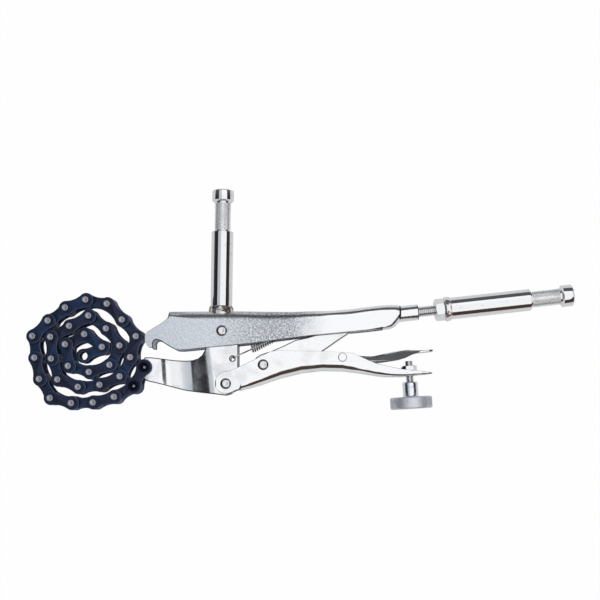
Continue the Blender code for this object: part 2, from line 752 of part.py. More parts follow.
def lower_channel_void(stations):
    start = LOWER_WEB_START_SHARE * LOWER_LENGTH
    end = LOWER_CHANNEL_END_SHARE * LOWER_LENGTH
    kept = [row for row in stations if start <= row[0] <= end]
    first = (start - CUT_OVERRUN, *kept[0][1:])
    rings = []
    mouth = 2 * LOWER_DEPTH
    for x, top, bottom, half, upper, lower in [first] + kept:
        radius = max(lower - LOWER_SHEET, EDGE_BREAK)
        rings.append(void_section(x, bottom + LOWER_SHEET, mouth, half - LOWER_SHEET, radius))
    return lofted("channel void", rings)


def lower_handle(frame):
    stations = scaled_stations(
        LOWER_SHARES, LOWER_LENGTH, LOWER_DEPTH, LOWER_HALF_WIDTH, LOWER_FOLD_RADIUS
    )
    piece = lofted("lower_handle", [full_section(*row) for row in stations], chrome())
    start = LOWER_WEB_START_SHARE * LOWER_LENGTH
    low = (-LOWER_LENGTH / 2, -LOWER_DEPTH, -INNER_HALF_WIDTH)
    nose_gap = box("nose gap", low, (start, LOWER_DEPTH, INNER_HALF_WIDTH))
    reach = LOWER_HALF_WIDTH + CUT_OVERRUN
    toggle_hole = hole(TOGGLE_SEAT, RIVET_SHANK_RADIUS + RUNNING_GAP, reach)
    release_hole = hole(RELEASE_SEAT, RELEASE_SHANK_RADIUS + RUNNING_GAP, reach)
    pivot_hole = hole((0, 0, 0), RIVET_SHANK_RADIUS + RUNNING_GAP, reach)
    screw_radius = LOCK_SCREW_RADIUS + RUNNING_GAP
    screw_hole = rod("screw hole", screw_radius, -LOWER_DEPTH, LOWER_DEPTH, SMALL_SIDES)
    stand(screw_hole, SCREW_SEAT, LOCK_AXIS, None)
    cut(piece, lower_channel_void(stations), nose_gap, pivot_hole, toggle_hole)
    cut(piece, release_hole, screw_hole)
    piece.parent = frame
    piece.location = HANDLE_PIVOT
    return smooth(piece)


def toggle_link(frame):
    outline = [(x * TOGGLE_REACH, y * TOGGLE_RISE) for x, y in TOGGLE_OUTLINE_SHARES]
    piece = prism("toggle_link", outline, -TOGGLE_HALF_WIDTH, TOGGLE_HALF_WIDTH, chrome())
    reach = TOGGLE_HALF_WIDTH + CUT_OVERRUN
    cut(piece, hole((0, 0, 0), RIVET_SHANK_RADIUS + RUNNING_GAP, reach))
    piece.parent = frame
    piece.location = TOGGLE_PIVOT
    return piece


def release_lever(frame):
    stations = scaled_stations(
        LEVER_SHARES, LEVER_LENGTH, LEVER_DEPTH, LEVER_HALF_WIDTH, LEVER_CORNER
    )
    piece = lofted("release_lever", [full_section(*row) for row in stations], chrome())
    end = LEVER_CHANNEL_END_SHARE * LEVER_LENGTH
    kept = [row for row in stations if row[0] <= end]
    kept[0] = (kept[0][0] - CUT_OVERRUN, *kept[0][1:])
    rings = []
    for x, top, bottom, half, upper, lower in kept:
        radius = max(upper - LEVER_SHEET, EDGE_BREAK)
        inner = half - LEVER_SHEET
        rings.append(void_section(x, top - LEVER_SHEET, -2 * LEVER_DEPTH, inner, radius))
    reach = LEVER_HALF_WIDTH + CUT_OVERRUN
    pivot = hole((0, 0, 0), RELEASE_SHANK_RADIUS + RUNNING_GAP, reach)
    cut(piece, lofted("channel void", rings), pivot)
    piece.parent = frame
    piece.location = RELEASE_PIVOT
    return smooth(piece)


def rear_screw(frame):
    """Adjusting screw with the jam nut and the spigot that turn it."""
    screw = rod("adjusting_screw", ROD_RADIUS, -ROD_INSIDE, ROD_OUTSIDE, SMALL_SIDES, satin())
    stand(screw, TUBE_MOUTH, TUBE_AXIS, frame)
    nut = hexagon("jam_nut", JAM_NUT_ACROSS, 0, JAM_NUT_LENGTH, chrome())
    reach = JAM_NUT_LENGTH + CUT_OVERRUN
    thread = ROD_RADIUS + RUNNING_GAP
    cut(nut, rod("thread", thread, -CUT_OVERRUN, reach, SMALL_SIDES))
    stand(nut, TUBE_MOUTH + JAM_NUT_OFFSET * TUBE_AXIS, TUBE_AXIS, frame)
    foot = JAM_NUT_OFFSET + JAM_NUT_LENGTH + RUNNING_GAP
    bore_depth = ROD_OUTSIDE - foot + RUNNING_GAP
    barrel = spigot("rear_spigot", REAR_BARREL_LENGTH, thread, bore_depth)
    stand(barrel, TUBE_MOUTH + foot * TUBE_AXIS, TUBE_AXIS, frame)


def lock_screw(frame):
    """Lock screw, its nut on the tail of the lower handle and its knob."""
    hub_top = -LOCK_HUB_OFFSET
    hub_end = hub_top - LOCK_HUB_LENGTH
    knob_end = hub_end - LOCK_KNOB_LENGTH
    tip = hub_top - LOCK_BORE_DEPTH
    screw = rod("lock_screw", LOCK_SCREW_RADIUS, tip, LOCK_SCREW_ABOVE, SMALL_SIDES, satin())
    stand(screw, LOCK_SEAT, LOCK_AXIS, frame)
    nut = hexagon("lock_nut", LOCK_NUT_ACROSS, 0, LOCK_NUT_LENGTH, chrome())
    hole_radius = LOCK_SCREW_RADIUS + RUNNING_GAP
    nut_reach = LOCK_NUT_LENGTH + CUT_OVERRUN
    cut(nut, rod("thread", hole_radius, -CUT_OVERRUN, nut_reach, SMALL_SIDES))
    stand(nut, LOCK_SEAT + LOCK_NUT_OFFSET * LOCK_AXIS, LOCK_AXIS, frame)
    chamfer = LOCK_KNOB_CHAMFER
    profile = (
        (0, tip - RUNNING_GAP),
        (hole_radius, tip - RUNNING_GAP),
        (hole_radius, hub_top),
        (LOCK_HUB_RADIUS - chamfer, hub_top),
        (LOCK_HUB_RADIUS, hub_top - chamfer),
        (LOCK_HUB_RADIUS, hub_end),
        (LOCK_KNOB_RADIUS - chamfer, hub_end),
        (LOCK_KNOB_RADIUS, hub_end - chamfer),
        (LOCK_KNOB_RADIUS, knob_end + chamfer),
        (LOCK_KNOB_RADIUS - chamfer, knob_end),
        (0, knob_end),
    )
    knob = turned("lock_knob", profile, ROUND_SIDES, satin())
    stand(knob, LOCK_SEAT, LOCK_AXIS, frame)


def plate_outline(radius, waist):
    """Figure-eight plate from the pin at the origin to the pin one pitch along X."""
    points = []
    open_turn = math.acos(waist / radius) + math.asin(waist / radius) / 2
    for centre, facing in ((PITCH, 0), (0, math.pi)):
        for step in range(PLATE_STEPS + 1):
            turn = facing - (math.pi - open_turn) + 2 * (math.pi - open_turn) * step / PLATE_STEPS
            points.append((centre + radius * math.cos(turn), radius * math.sin(turn)))
        middle = waist if facing == 0 else -waist
        points.append((PITCH / 2, middle))
    return points


def plate_pair(name, radius, waist, inner_face, look):
    """The two plates of a link, one on each side of the rollers."""
    outline = plate_outline(radius, waist)
    front = prism(name, outline, inner_face, inner_face + PLATE_SHEET, look)
    back = prism("back plate", outline, -inner_face - PLATE_SHEET, -inner_face)
    return front, back


def outer_link():
    front, back = plate_pair("outer link", PLATE_RADIUS, PLATE_WAIST, OUTER_PLATE_BACK, black_oxide())
    near = rod("pin", PIN_RADIUS, -PIN_HALF_LENGTH, PIN_HALF_LENGTH, PIN_SIDES)
    far = rod("pin", PIN_RADIUS, -PIN_HALF_LENGTH, PIN_HALF_LENGTH, PIN_SIDES)
    far.location = (PITCH, 0, 0)
    return fuse(fuse(front, near, far), back)


def inner_link(near_bore):
    front, back = plate_pair("inner link", PLATE_RADIUS, PLATE_WAIST, ROLLER_HALF_LENGTH, black_oxide())
    half = ROLLER_HALF_LENGTH + PLATE_SHEET / 2
    near = rod("roller", ROLLER_RADIUS, -half, half, ROLLER_SIDES)
    far = rod("roller", ROLLER_RADIUS, -half, half, ROLLER_SIDES)
    far.location = (PITCH, 0, 0)
    piece = fuse(fuse(front, near, far), back)
    reach = INNER_PLATE_FACE + CUT_OVERRUN
    near_hole = hole((0, 0, 0), near_bore, reach, PIN_SIDES)
    far_hole = hole((PITCH, 0, 0), PIN_RADIUS + RUNNING_GAP, reach, PIN_SIDES)
    return cut(piece, near_hole, far_hole)


def coil_headings():
    """Heading of each link, from one pin straight towards the next place."""
    headings = []
    pin = Vector((0, 0))
    for share in COIL_PLACE_SHARES:
        way = Vector(share) * PITCH - pin
        heading = math.atan2(way.y, way.x)
        headings.append(heading)
        pin = pin + PITCH * Vector((math.cos(heading), math.sin(heading)))
    return headings


def anchor_plate(name, side, frame):
    outline = plate_outline(ANCHOR_PLATE_RADIUS, PLATE_WAIST)
    low = OUTER_PLATE_BACK if side > 0 else -OUTER_PLATE_FACE
    piece = prism(name, outline, low, low + PLATE_SHEET, black_oxide())
    reach = OUTER_PLATE_FACE + CUT_OVERRUN
    radius = HOLLOW_SHANK_RADIUS + RUNNING_GAP
    cut(piece, hole((0, 0, 0), radius, reach), hole((PITCH, 0, 0), radius, reach))
    piece.parent = frame
    return piece


def chain(frame):
    headings = coil_headings()
    anchor = hollow_rivet("chain_anchor_rivet", black_oxide())
    anchor.location = CHAIN_ANCHOR
    anchor.parent = frame
    for name, side in (("anchor_plate_front", 1), ("anchor_plate_back", -1)):
        plate = anchor_plate(name, side, frame)
        plate.location = CHAIN_ANCHOR
        plate.rotation_euler = (0, 0, headings[0])
    first = bpy.data.objects["anchor_plate_front"]
    second = hollow_rivet("anchor_link_rivet", black_oxide())
    second.parent = first
    second.location = (PITCH, 0, 0)
    outer = outer_link()
    inner = inner_link(PIN_RADIUS + RUNNING_GAP)
    inner_first = inner_link(HOLLOW_SHANK_RADIUS + RUNNING_GAP)
    before = first
    for number in range(1, len(headings)):
        source = inner if number % 2 else outer
        if number == 1:
            source = inner_first
        link = bpy.data.objects.new(f"chain_link_{number:02d}", source.data)
        bpy.context.scene.collection.objects.link(link)
        link.parent = before
        link.location = (PITCH, 0, 0)
        link.rotation_euler = (0, 0, headings[number] - headings[number - 1])
        before = link
    for source in (outer, inner, inner_first):
        bpy.data.objects.remove(source)


def spring_points():
    """Centre line of the spring: a hook through the front cheek, a lead, coils, a lead."""
    start = Vector((SPRING_HOLE_X, -SPRING_HOLE_DROP, SPRING_OFFSET))
    end = Vector((SPRING_LUG_X, SPRING_LUG_RISE, SPRING_OFFSET))
    along = (end - start).normalized()
    across = Z_AXIS.cross(along)
    hook_top = CHEEK_HALF_WIDTH + SPRING_WIRE_RADIUS * 2
    points = [Vector((start.x, start.y, hook_top))]
    bend_centre = start + SPRING_HOOK_RADIUS * (along + Z_AXIS)
    for step in range(CORNER_STEPS + 1):
        turn = step / CORNER_STEPS * math.pi / 2
        inward = -math.cos(turn) * along - math.sin(turn) * Z_AXIS
        points.append(bend_centre + SPRING_HOOK_RADIUS * inward)
    coil_start = start + SPRING_LEAD_IN * along
    points.append(coil_start - SPRING_COIL_RADIUS * along)
    steps = SPRING_TURNS * SPRING_POINTS_PER_TURN
    for step in range(steps + 1):
        turn = step / SPRING_POINTS_PER_TURN * math.tau
        spoke = math.cos(turn) * across + math.sin(turn) * Z_AXIS
        advance = SPRING_PITCH * step / SPRING_POINTS_PER_TURN
        points.append(coil_start + advance * along + SPRING_COIL_RADIUS * spoke)
    coil_end = coil_start + SPRING_PITCH * SPRING_TURNS * along
    points.append(coil_end + SPRING_COIL_RADIUS * along)
    points.append(end - SPRING_WIRE_RADIUS * 2 * along)
    points.append(end)
    return points


def least_self_gap(points, neighbours):
    """Smallest gap of the wire to itself, past the points that follow along it."""
    least = math.inf
    for index, point in enumerate(points):
        for other in points[index + neighbours:]:
            least = min(least, (other - point).length)
    return least - 2 * SPRING_WIRE_RADIUS


def jaw_spring(frame):
    points = spring_points()
    gap = least_self_gap(points, SPRING_POINTS_PER_TURN // 2)
    print(f"jaw spring: least gap to itself {gap / MM:.2f} mm")
    curve = bpy.data.curves.new("jaw_spring", "CURVE")
    curve.dimensions = "3D"
    curve.bevel_depth = SPRING_WIRE_RADIUS
    curve.bevel_resolution = 1
    curve.use_fill_caps = True
    spline = curve.splines.new("POLY")
    spline.points.add(len(points) - 1)
    for slot, point in zip(spline.points, points):
        slot.co = (*point, 1)
    curve.materials.append(satin())
    piece = bpy.data.objects.new("jaw_spring", curve)
    bpy.context.scene.collection.objects.link(piece)
    piece.parent = frame


def settle(frame):
    """Move the frame so that the clamp stands on zero, centred in plan."""
    bpy.context.view_layer.update()
    graph = bpy.context.evaluated_depsgraph_get()
    corners = []
    for item in bpy.context.scene.objects:
        if item.type in {"MESH", "CURVE"}:
            shown = item.evaluated_get(graph)
            mesh = shown.to_mesh()
            corners += [shown.matrix_world @ vert.co for vert in mesh.vertices]
            shown.to_mesh_clear()
    low = Vector([min(point[axis] for point in corners) for axis in range(3)])
    high = Vector([max(point[axis] for point in corners) for axis in range(3)])
    middle = (low + high) / 2
    frame.location = (-middle.x, -middle.y, -low.z)


def main():
    clear_scene()
    frame = bpy.data.objects.new("clamp_frame", None)
    bpy.context.scene.collection.objects.link(frame)
    upper_handle(frame)
    side_spigot(frame)
    origin = Vector((0, 0, 0))
    shank = RIVET_SHANK_RADIUS
    head = RIVET_HEAD_RADIUS
    rivet("jaw_pivot_rivet", origin, shank, head, UPPER_HALF_WIDTH, satin(), frame)
    jaw_cheek("jaw_cheek_front", 1, frame)
    jaw_cheek("jaw_cheek_back", -1, frame)
    rivet("handle_pivot_rivet", HANDLE_PIVOT, shank, head, LOWER_HALF_WIDTH, satin(), frame)
    lower_handle(frame)
    rivet("toggle_rivet", TOGGLE_PIVOT, shank, head, LOWER_HALF_WIDTH, satin(), frame)
    small_shank = RELEASE_SHANK_RADIUS
    small_head = RELEASE_HEAD_RADIUS
    half = LOWER_HALF_WIDTH
    rivet("release_rivet", RELEASE_PIVOT, small_shank, small_head, half, satin(), frame)
    toggle_link(frame)
    release_lever(frame)
    rear_screw(frame)
    lock_screw(frame)
    chain(frame)
    jaw_spring(frame)
    settle(frame)


main()
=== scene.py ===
"""Looks of the chain clamp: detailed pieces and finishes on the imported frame."""
import json
import math

import bmesh
import bpy
from mathutils import Matrix, Vector, noise


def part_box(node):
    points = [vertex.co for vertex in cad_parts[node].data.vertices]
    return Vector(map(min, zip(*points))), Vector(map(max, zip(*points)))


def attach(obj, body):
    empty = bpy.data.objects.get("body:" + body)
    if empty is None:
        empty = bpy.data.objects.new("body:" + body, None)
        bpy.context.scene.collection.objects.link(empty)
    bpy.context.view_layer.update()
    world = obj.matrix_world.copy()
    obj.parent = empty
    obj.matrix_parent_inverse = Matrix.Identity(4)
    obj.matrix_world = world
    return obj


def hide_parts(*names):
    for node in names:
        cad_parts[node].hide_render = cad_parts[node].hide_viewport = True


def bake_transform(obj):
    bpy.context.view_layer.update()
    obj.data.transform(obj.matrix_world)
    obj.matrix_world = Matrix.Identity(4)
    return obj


bl_info = {
    "name": "Chain clamp",
    "version": (1, 0, 0),
    "blender": (4, 5, 0),
    "location": "View3D > Sidebar > Chain clamp",
    "description": "Builds the visible pieces of a locking chain clamp",
    "category": "Add Mesh",
}

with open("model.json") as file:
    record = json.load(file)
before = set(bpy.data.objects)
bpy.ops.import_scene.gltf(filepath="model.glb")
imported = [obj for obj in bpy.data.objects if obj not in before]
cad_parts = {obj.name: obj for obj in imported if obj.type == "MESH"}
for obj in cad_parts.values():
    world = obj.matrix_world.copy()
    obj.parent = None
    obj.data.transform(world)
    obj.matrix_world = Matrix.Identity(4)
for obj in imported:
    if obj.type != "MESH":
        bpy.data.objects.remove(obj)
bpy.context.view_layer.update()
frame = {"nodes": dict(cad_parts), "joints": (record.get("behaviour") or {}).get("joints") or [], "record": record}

MM = 0.001
MERGE = 0.000002
# Angles between faces, in degrees, that stay sharp in a turned and in a pressed shape
SHARP = 31
FOLD = 52
JAW_PIVOT = Vector(next(j["pos_m"] for j in frame["joints"] if j["name"] == "jaw_pivot"))
MIDDLE = JAW_PIVOT.z
# Length of each spigot from its foot to the mount on its end
SIDE_SPIGOT_REACH = 90.0 * MM
REAR_SPIGOT_REACH = 95.2 * MM
# Depth of the bore for the adjusting screw, from the rear spigot's foot
REAR_BORE_DEPTH = 24.5 * MM
# Ends of the threads, from the rear spigot's foot and from the lock screw's seat
ROD_LOW, ROD_HIGH = -52.1 * MM, 24.2 * MM
LOCK_LOW, LOCK_HIGH = -17.3 * MM, 10.0 * MM
# Nut above and knob below the lock screw's seat, and the bore in the knob
LOCK_NUT_RISE = 1.7 * MM
KNOB_DROP = 5.4 * MM
KNOB_BORE_DEPTH = 12.0 * MM
CHAIN_PITCH = 15.875 * MM
ANCHOR_BORE = 3.35 * MM
# Ends of the spring's line, from the jaw pivot
SPRING_START = Vector((7.6, -20.2, 3.4)) * MM
SPRING_END = Vector((61.4, 7.3, 3.4)) * MM


def amount(name, description, default, **more):
    return bpy.props.FloatProperty(name=name, description=description, default=default, **more)


def length(name, description, default):
    """A size that is given in millimetres and kept in metres."""
    return amount(name, description, default * MM, min=0.0, precision=5, unit="LENGTH")


def colour(name, description, default):
    return bpy.props.FloatVectorProperty(
        name=name,
        description=description,
        default=default,
        min=0.0,
        max=1.0,
        size=3,
        subtype="COLOR",
    )


def count(name, description, default):
    return bpy.props.IntProperty(name=name, description=description, default=default, min=3)


class PressedSizes(bpy.types.PropertyGroup):
    edge: length("Edge round", "Rounding of the sheared sheet edges", 0.7)
    jaw_edge: length("Jaw edge round", "Rounding of the jaw cheeks' edges", 0.75)
    wide_fold: length("Wide fold", "Widest radius of the upper handle's fold", 8.6)
    lever_lean: amount(
        "Lever lean",
        "Share by which the release lever narrows towards its fold",
        0.46,
        min=0.0,
        max=1.0,
        subtype="FACTOR",
    )


class RivetSizes(bpy.types.PropertyGroup):
    head_radius: length("Head radius", "Radius of a rivet's head", 3.95)
    shank_radius: length("Shank radius", "Radius of a rivet's shank", 3.0)
    head_height: length("Head height", "Height of a rivet's head", 1.0)
    small_head: length("Small head", "Head radius of the release lever's rivet", 3.1)
    small_shank: length("Small shank", "Shank radius of the release lever's rivet", 2.3)


class SpigotSizes(bpy.types.PropertyGroup):
    radius: length("Radius", "Radius of the barrel and the head", 8.0)
    neck_radius: length("Neck radius", "Radius over the knurl of the neck", 5.9)
    side_neck: length("Side neck", "Length of the side spigot's neck", 21.8)
    rear_neck: length("Rear neck", "Length of the rear spigot's neck", 22.6)
    head: length("Head length", "Length of the head", 8.7)
    chamfer: length("Chamfer", "Chamfer of the head", 1.6)
    side_barrel: length("Side barrel", "Length of the side spigot's barrel", 58.8)
    rear_barrel: length("Rear barrel", "Length of the rear spigot's barrel", 63.4)
    knurl_depth: length("Knurl depth", "Depth of the diamond knurl", 0.13)
    knurl_columns: count("Knurl columns", "Diamonds round the neck", 30)
    knurl_rows: count("Knurl rows", "Diamonds along the neck", 17)
    weld_radius: length("Weld radius", "Radius of the weld round the side spigot", 9.2)
    weld_height: length("Weld height", "Height of the weld up the side spigot", 3.6)


class ScrewSizes(bpy.types.PropertyGroup):
    rod_radius: length("Rod radius", "Radius of the adjusting screw", 3.9)
    rod_lead: length("Rod lead", "Travel of the adjusting screw in one turn", 1.41)
    nut_across: length("Nut across flats", "Width of the jam nut", 14.3)
    nut: length("Nut length", "Length of the jam nut", 7.2)
    lock_radius: length("Lock screw radius", "Radius of the lock screw", 2.9)
    lock_lead: length("Lock screw lead", "Travel of the lock screw in one turn", 1.0)
    lock_nut_across: length("Lock nut across flats", "Width of the lock nut", 10.0)
    lock_nut: length("Lock nut length", "Length of the lock nut", 5.0)
    hub_radius: length("Hub radius", "Radius of the knob's hub", 5.7)
    hub: length("Hub length", "Length of the knob's hub", 11.0)
    knob_radius: length("Knob radius", "Radius of the knob's disc", 15.5)
    knob: length("Knob length", "Thickness of the knob's disc", 9.0)
    knob_columns: count("Knob ridges", "Ridges round the knob's rim", 90)


class SpringSizes(bpy.types.PropertyGroup):
    wire: length("Wire radius", "Radius of the spring's wire", 0.52)
    coil: length("Coil radius", "Radius of the coil's centre line", 2.75)
    turns: count("Turns", "Turns of the coil", 22)


class ChainSizes(bpy.types.PropertyGroup):
    pitch: length("Pitch", "Distance between two pins", 15.875)
    radius: length("Plate radius", "Radius of a plate's ends", 5.3)
    waist: length("Plate waist", "Half width of a plate at its waist", 3.8)
    anchor_radius: length("Anchor plate radius", "Radius of the anchor plates' ends", 5.9)
    sheet: length("Plate sheet", "Thickness of a plate", 1.8)
    edge: length("Plate edge", "Rounding of a plate's edges", 0.35)
    pin_radius: length("Pin radius", "Radius of a chain pin", 2.45)
    pin_half: length("Pin half length", "Half the length of a chain pin", 13.2)
    roller_radius: length("Roller radius", "Radius of a roller", 5.0)
    roller_half: length("Roller half length", "Half the width between inner plates", 4.6)
    gap: length("Gap", "Gap between inner and outer plates", 0.3)
    rivet_radius: length("Hollow rivet radius", "Head radius of the hollow rivets", 3.9)
    rivet_bore: length("Hollow rivet bore", "Bore radius of the hollow rivets", 2.2)


class FinishColours(bpy.types.PropertyGroup):
    chrome: colour("Chrome", "Bright plating of the spigots", (0.86, 0.87, 0.89))
    blasted: colour("Blasted chrome", "Blasted plating of the upper handle", (0.72, 0.76, 0.82))
    satin: colour("Satin chrome", "Plating of the lower handle", (0.92, 0.93, 0.95))
    jaw: colour("Jaw plating", "Plating of the jaw cheeks", (0.92, 0.93, 0.95))
    # Painted dark: the rims' tone stands for the dark room that the rounded edges reflect, over their duller
    # plating
    rim: colour("Sheared rim", "Dull plating on the sheared rims", (0.17, 0.17, 0.19))
    zinc: colour("Zinc", "Bluish plating of the knob", (0.84, 0.87, 0.95))
    oxide: colour("Black oxide", "Blued plates of the chain", (0.027, 0.047, 0.100))
    oxide_brown: colour("Brown oxide", "Browner patches of the plates", (0.034, 0.040, 0.072))
    # Lighter edges of the plates: wear, and a painted highlight along every rounded edge
    worn_edge_highlight: colour("Worn oxide", "Worn edges of the plates", (0.10, 0.12, 0.20))
    pin: colour("Pin steel", "Bare steel of the pins", (0.42, 0.42, 0.48))
    steel: colour("Bright steel", "Bare steel of the rivets and screws", (0.78, 0.78, 0.80))
    weld: colour("Weld", "Plated weld metal", (0.86, 0.84, 0.82))
    scorch: colour("Scorch", "Heat marks beside the weld", (0.20, 0.13, 0.09))


class StageSettings(bpy.types.PropertyGroup):
    lens: amount("Lens", "Focal length of the camera in millimetres", 65.3, min=10.0)
    shift: amount("Shift", "Vertical shift of the lens", 0.1917)
    panel_height: length("Panel height", "Height of the light panels", 1200.0)
    panel_edge: amount(
        "Panel edge", "Where the left light panel meets the right one", -0.28, unit="LENGTH"
    )
    left_level: amount("Left level", "Radiance of the left panel", 0.60, min=0.0)
    right_level: amount("Right level", "Radiance of the right panel", 1.0, min=0.0)
    panel_tint: colour("Panel tint", "Colour of the left panel's light", (0.88, 0.94, 1.0))
    ground: colour("Ground", "Colour of the floor", (0.80, 0.80, 0.80))


class Signal:
    """A value in a node tree. Sums on it add Math nodes."""

    def __init__(self, tree, socket=None):
        self.tree = tree
        self.socket = socket

    def node(self, kind, settings, inputs, output=0):
        """Any node: its settings first, then the values or links of its sockets."""
        made = self.tree.nodes.new("ShaderNode" + kind)
        for name, value in settings.items():
            if name == "stops":
                ramp = made.color_ramp
                while len(ramp.elements) < len(value):
                    ramp.elements.new(1.0)
                for element, (place, tone) in zip(ramp.elements, value):
                    element.position = place
                    element.color = (*tone, 1.0)
            else:
                setattr(made, name, value)
        for name, value in inputs.items():
            if isinstance(value, Signal):
                self.tree.links.new(value.socket, made.inputs[name])
            else:
                made.inputs[name].default_value = value
        return Signal(self.tree, made.outputs[output])

    def show(self, kind):
        """Link the value to the surface of an output node."""
        made = self.tree.nodes.new("ShaderNode" + kind)
        self.tree.links.new(self.socket, made.inputs["Surface"])

    def sum_of(self, operation, first, second):
        return self.node("Math", {"operation": operation}, {0: first, 1: second})

    def __add__(self, other):
        return self.sum_of("ADD", self, other)

    __radd__ = __add__

    def __sub__(self, other):
        return self.sum_of("SUBTRACT", self, other)

    def __rsub__(self, other):
        return self.sum_of("SUBTRACT", other, self)

    def __mul__(self, other):
        return self.sum_of("MULTIPLY", self, other)

    __rmul__ = __mul__

    def clipped(self, low, high):
        """From 0 at low to 1 at high, held outside."""
        inputs = {"Value": self, "From Min": low, "From Max": high}
        return self.node("MapRange", {"interpolation_type": "SMOOTHSTEP"}, inputs)

    def blend(self, first, second):
        """Colour between two colours, each one a tone or a signal."""
        inputs = {0: self}
        for number, tone in ((6, first), (7, second)):
            inputs[number] = tone if isinstance(tone, Signal) else opaque(tone)
        return self.node("Mix", {"data_type": "RGBA"}, inputs, 2)


def opaque(tone):
    return (*tone, 1.0)


def shaded(tone, level):
    return (tone[0] * level, tone[1] * level, tone[2] * level)


def new_finish(name):
    """An empty material and the signal that its nodes start from."""
    material = bpy.data.materials.new(name)
    material.use_nodes = True
    material.node_tree.nodes.clear()
    return material, Signal(material.node_tree)


def place_of(start, scale=(1.0, 1.0, 1.0)):
    """Object coordinates, scaled."""
    raw = start.node("TexCoord", {}, {}, 3)
    return start.node("Mapping", {}, {"Vector": raw, "Scale": scale})


def cloud(vector, scale, detail=3.0, rough=0.55):
    inputs = {"Vector": vector, "Scale": scale, "Detail": detail, "Roughness": rough}
    return vector.node("TexNoise", {}, inputs)


def along_axis(start, number):
    """One of the three object coordinates."""
    raw = start.node("TexCoord", {}, {}, 3)
    return start.node("SeparateXYZ", {}, {"Vector": raw}, number)


def metal_out(start, tone, roughness, height, lift, metallic=1.0):
    """Metal surface with relief, in metres, from a height between 0 and 1."""
    bump = start.node("Bump", {}, {"Strength": 1.0, "Distance": lift, "Height": height})
    inputs = {
        "Base Color": tone,
        "Metallic": metallic,
        "Roughness": roughness,
        "Normal": bump,
    }
    start.node("BsdfPrincipled", {}, inputs).show("OutputMaterial")


def plated(start, tone, rough, lift, speckle):
    """Plated sheet with cloudy patches, specks and fine handling marks."""
    place = place_of(start)
    patches = cloud(place, 60.0, 4.0, 0.6)
    grain = cloud(place, 1500.0, 2.0, 0.6)
    streaks = cloud(place_of(start, (90.0, 1500.0, 1500.0)), 1.0, 2.0)
    worn = patches.clipped(0.48, 0.68)
    tint = worn.blend(tone, shaded(tone, 0.87))
    tint = grain.clipped(0.58, 0.76).blend(tint, shaded(tone, speckle))
    roughness = rough + worn * (0.6 * rough) + streaks.clipped(0.5, 0.8) * (0.4 * rough)
    metal_out(start, tint, roughness, grain * 0.8 + streaks * 0.2, lift)


def blasted(start, tone, bright, rough):
    """Coarsely blasted chrome at the nose, worn bright towards the end that is held. Along X the tone is painted
    darker from behind the nose to the middle, as painted shade over a duller blast, and painted brighter beyond
    it, as a painted sheen as well as wear.
    """
    place = place_of(start)
    along = along_axis(start, 0)
    patches = cloud(place, 55.0, 4.0, 0.6)
    coarse = cloud(place, 720.0, 3.0, 0.7)
    fine = cloud(place, 1700.0, 2.0, 0.6)
    # The held end along X is painted brighter: a painted sheen as well as wear, with smoother plating
    grip_wear_and_sheen = (along + (patches - 0.5) * 0.03).clipped(-0.012, 0.022)
    # Here dull is a band along X that is painted darker: painted shade as well as a duller, coarser blast
    dull = along.clipped(-0.075, -0.015) * (1 - grip_wear_and_sheen)
    tint = dull.blend(tone, shaded(tone, 0.70))
    tint = grip_wear_and_sheen.blend(tint, bright)
    grain = coarse * 0.7 + fine * 0.3
    pitted = grain.clipped(0.49, 0.56) * (0.30 + 0.6 * dull) * (1 - grip_wear_and_sheen)
    tint = pitted.blend(tint, shaded(tone, 0.36))
    peaks = (1 - grain.clipped(0.40, 0.48)) * (0.25 + 0.65 * dull) * (1 - grip_wear_and_sheen)
    tint = peaks.blend(tint, bright)
    roughness = rough - 0.12 * grip_wear_and_sheen + patches * 0.06
    metal_out(start, tint, roughness, grain, 0.00004)


def turned_chrome(start, tone, rough, axis_scale, metallic=1.0):
    """Bright plating over fine turning marks, with a few dull spots."""
    rings = cloud(place_of(start, axis_scale), 1.0, 2.0)
    spots = cloud(place_of(start), 260.0, 3.0, 0.65)
    dull = spots.clipped(0.58, 0.72)
    tint = dull.blend(tone, shaded(tone, 0.8))
    roughness = rough + dull * (1.2 * rough) + rings * (0.3 * rough)
    metal_out(start, tint, roughness, rings + spots * 0.4, 0.0000025, metallic)


def oxide(start, tone, brown, worn_tone, wear):
    """Oiled black oxide: blue and brown patches, and wear in spots."""
    place = place_of(start)
    batches = cloud(place, 52.0, 2.0, 0.5)
    patches = cloud(place, 160.0, 5.0, 0.65)
    grain = cloud(place, 1600.0, 2.0, 0.6)
    tint = batches.clipped(0.40, 0.60).blend(tone, brown)
    rubbed = (patches * 0.6 + grain * 0.4).clipped(0.60 - wear, 0.76 - wear)
    tint = rubbed.blend(tint, worn_tone)
    roughness = 0.34 + patches * 0.22
    metal_out(start, tint, roughness, grain * 0.7 + patches * 0.3, 0.000006)


def ground_steel(start, tone, rough, dark):
    """Bare steel with ground marks and dark oil in its pits."""
    place = place_of(start)
    marks = cloud(place_of(start, (700.0, 5000.0, 700.0)), 1.0, 2.0)
    pits = cloud(place, 900.0, 3.0, 0.7)
    oiled = pits.clipped(0.56, 0.72)
    tint = oiled.blend(tone, shaded(tone, dark))
    roughness = rough + marks * 0.12 + oiled * 0.15
    metal_out(start, tint, roughness, marks * 0.5 + pits * 0.5, 0.000006)


def weld_metal(start, tone, scorch, low, high):
    """Plated weld with scale, and heat marks above a height on the tool's plan."""
    place = place_of(start)
    up = along_axis(start, 1)
    blots = cloud(place, 420.0, 4.0, 0.6)
    burnt = (up + (blots - 0.5) * 0.004).clipped(low, high) * blots.clipped(0.40, 0.56)
    pits = cloud(place, 1300.0, 3.0, 0.7)
    tint = burnt.blend(tone, scorch)
    roughness = 0.16 + burnt * 0.25 + pits * 0.1
    metal_out(start, tint, roughness, pits, 0.00003)


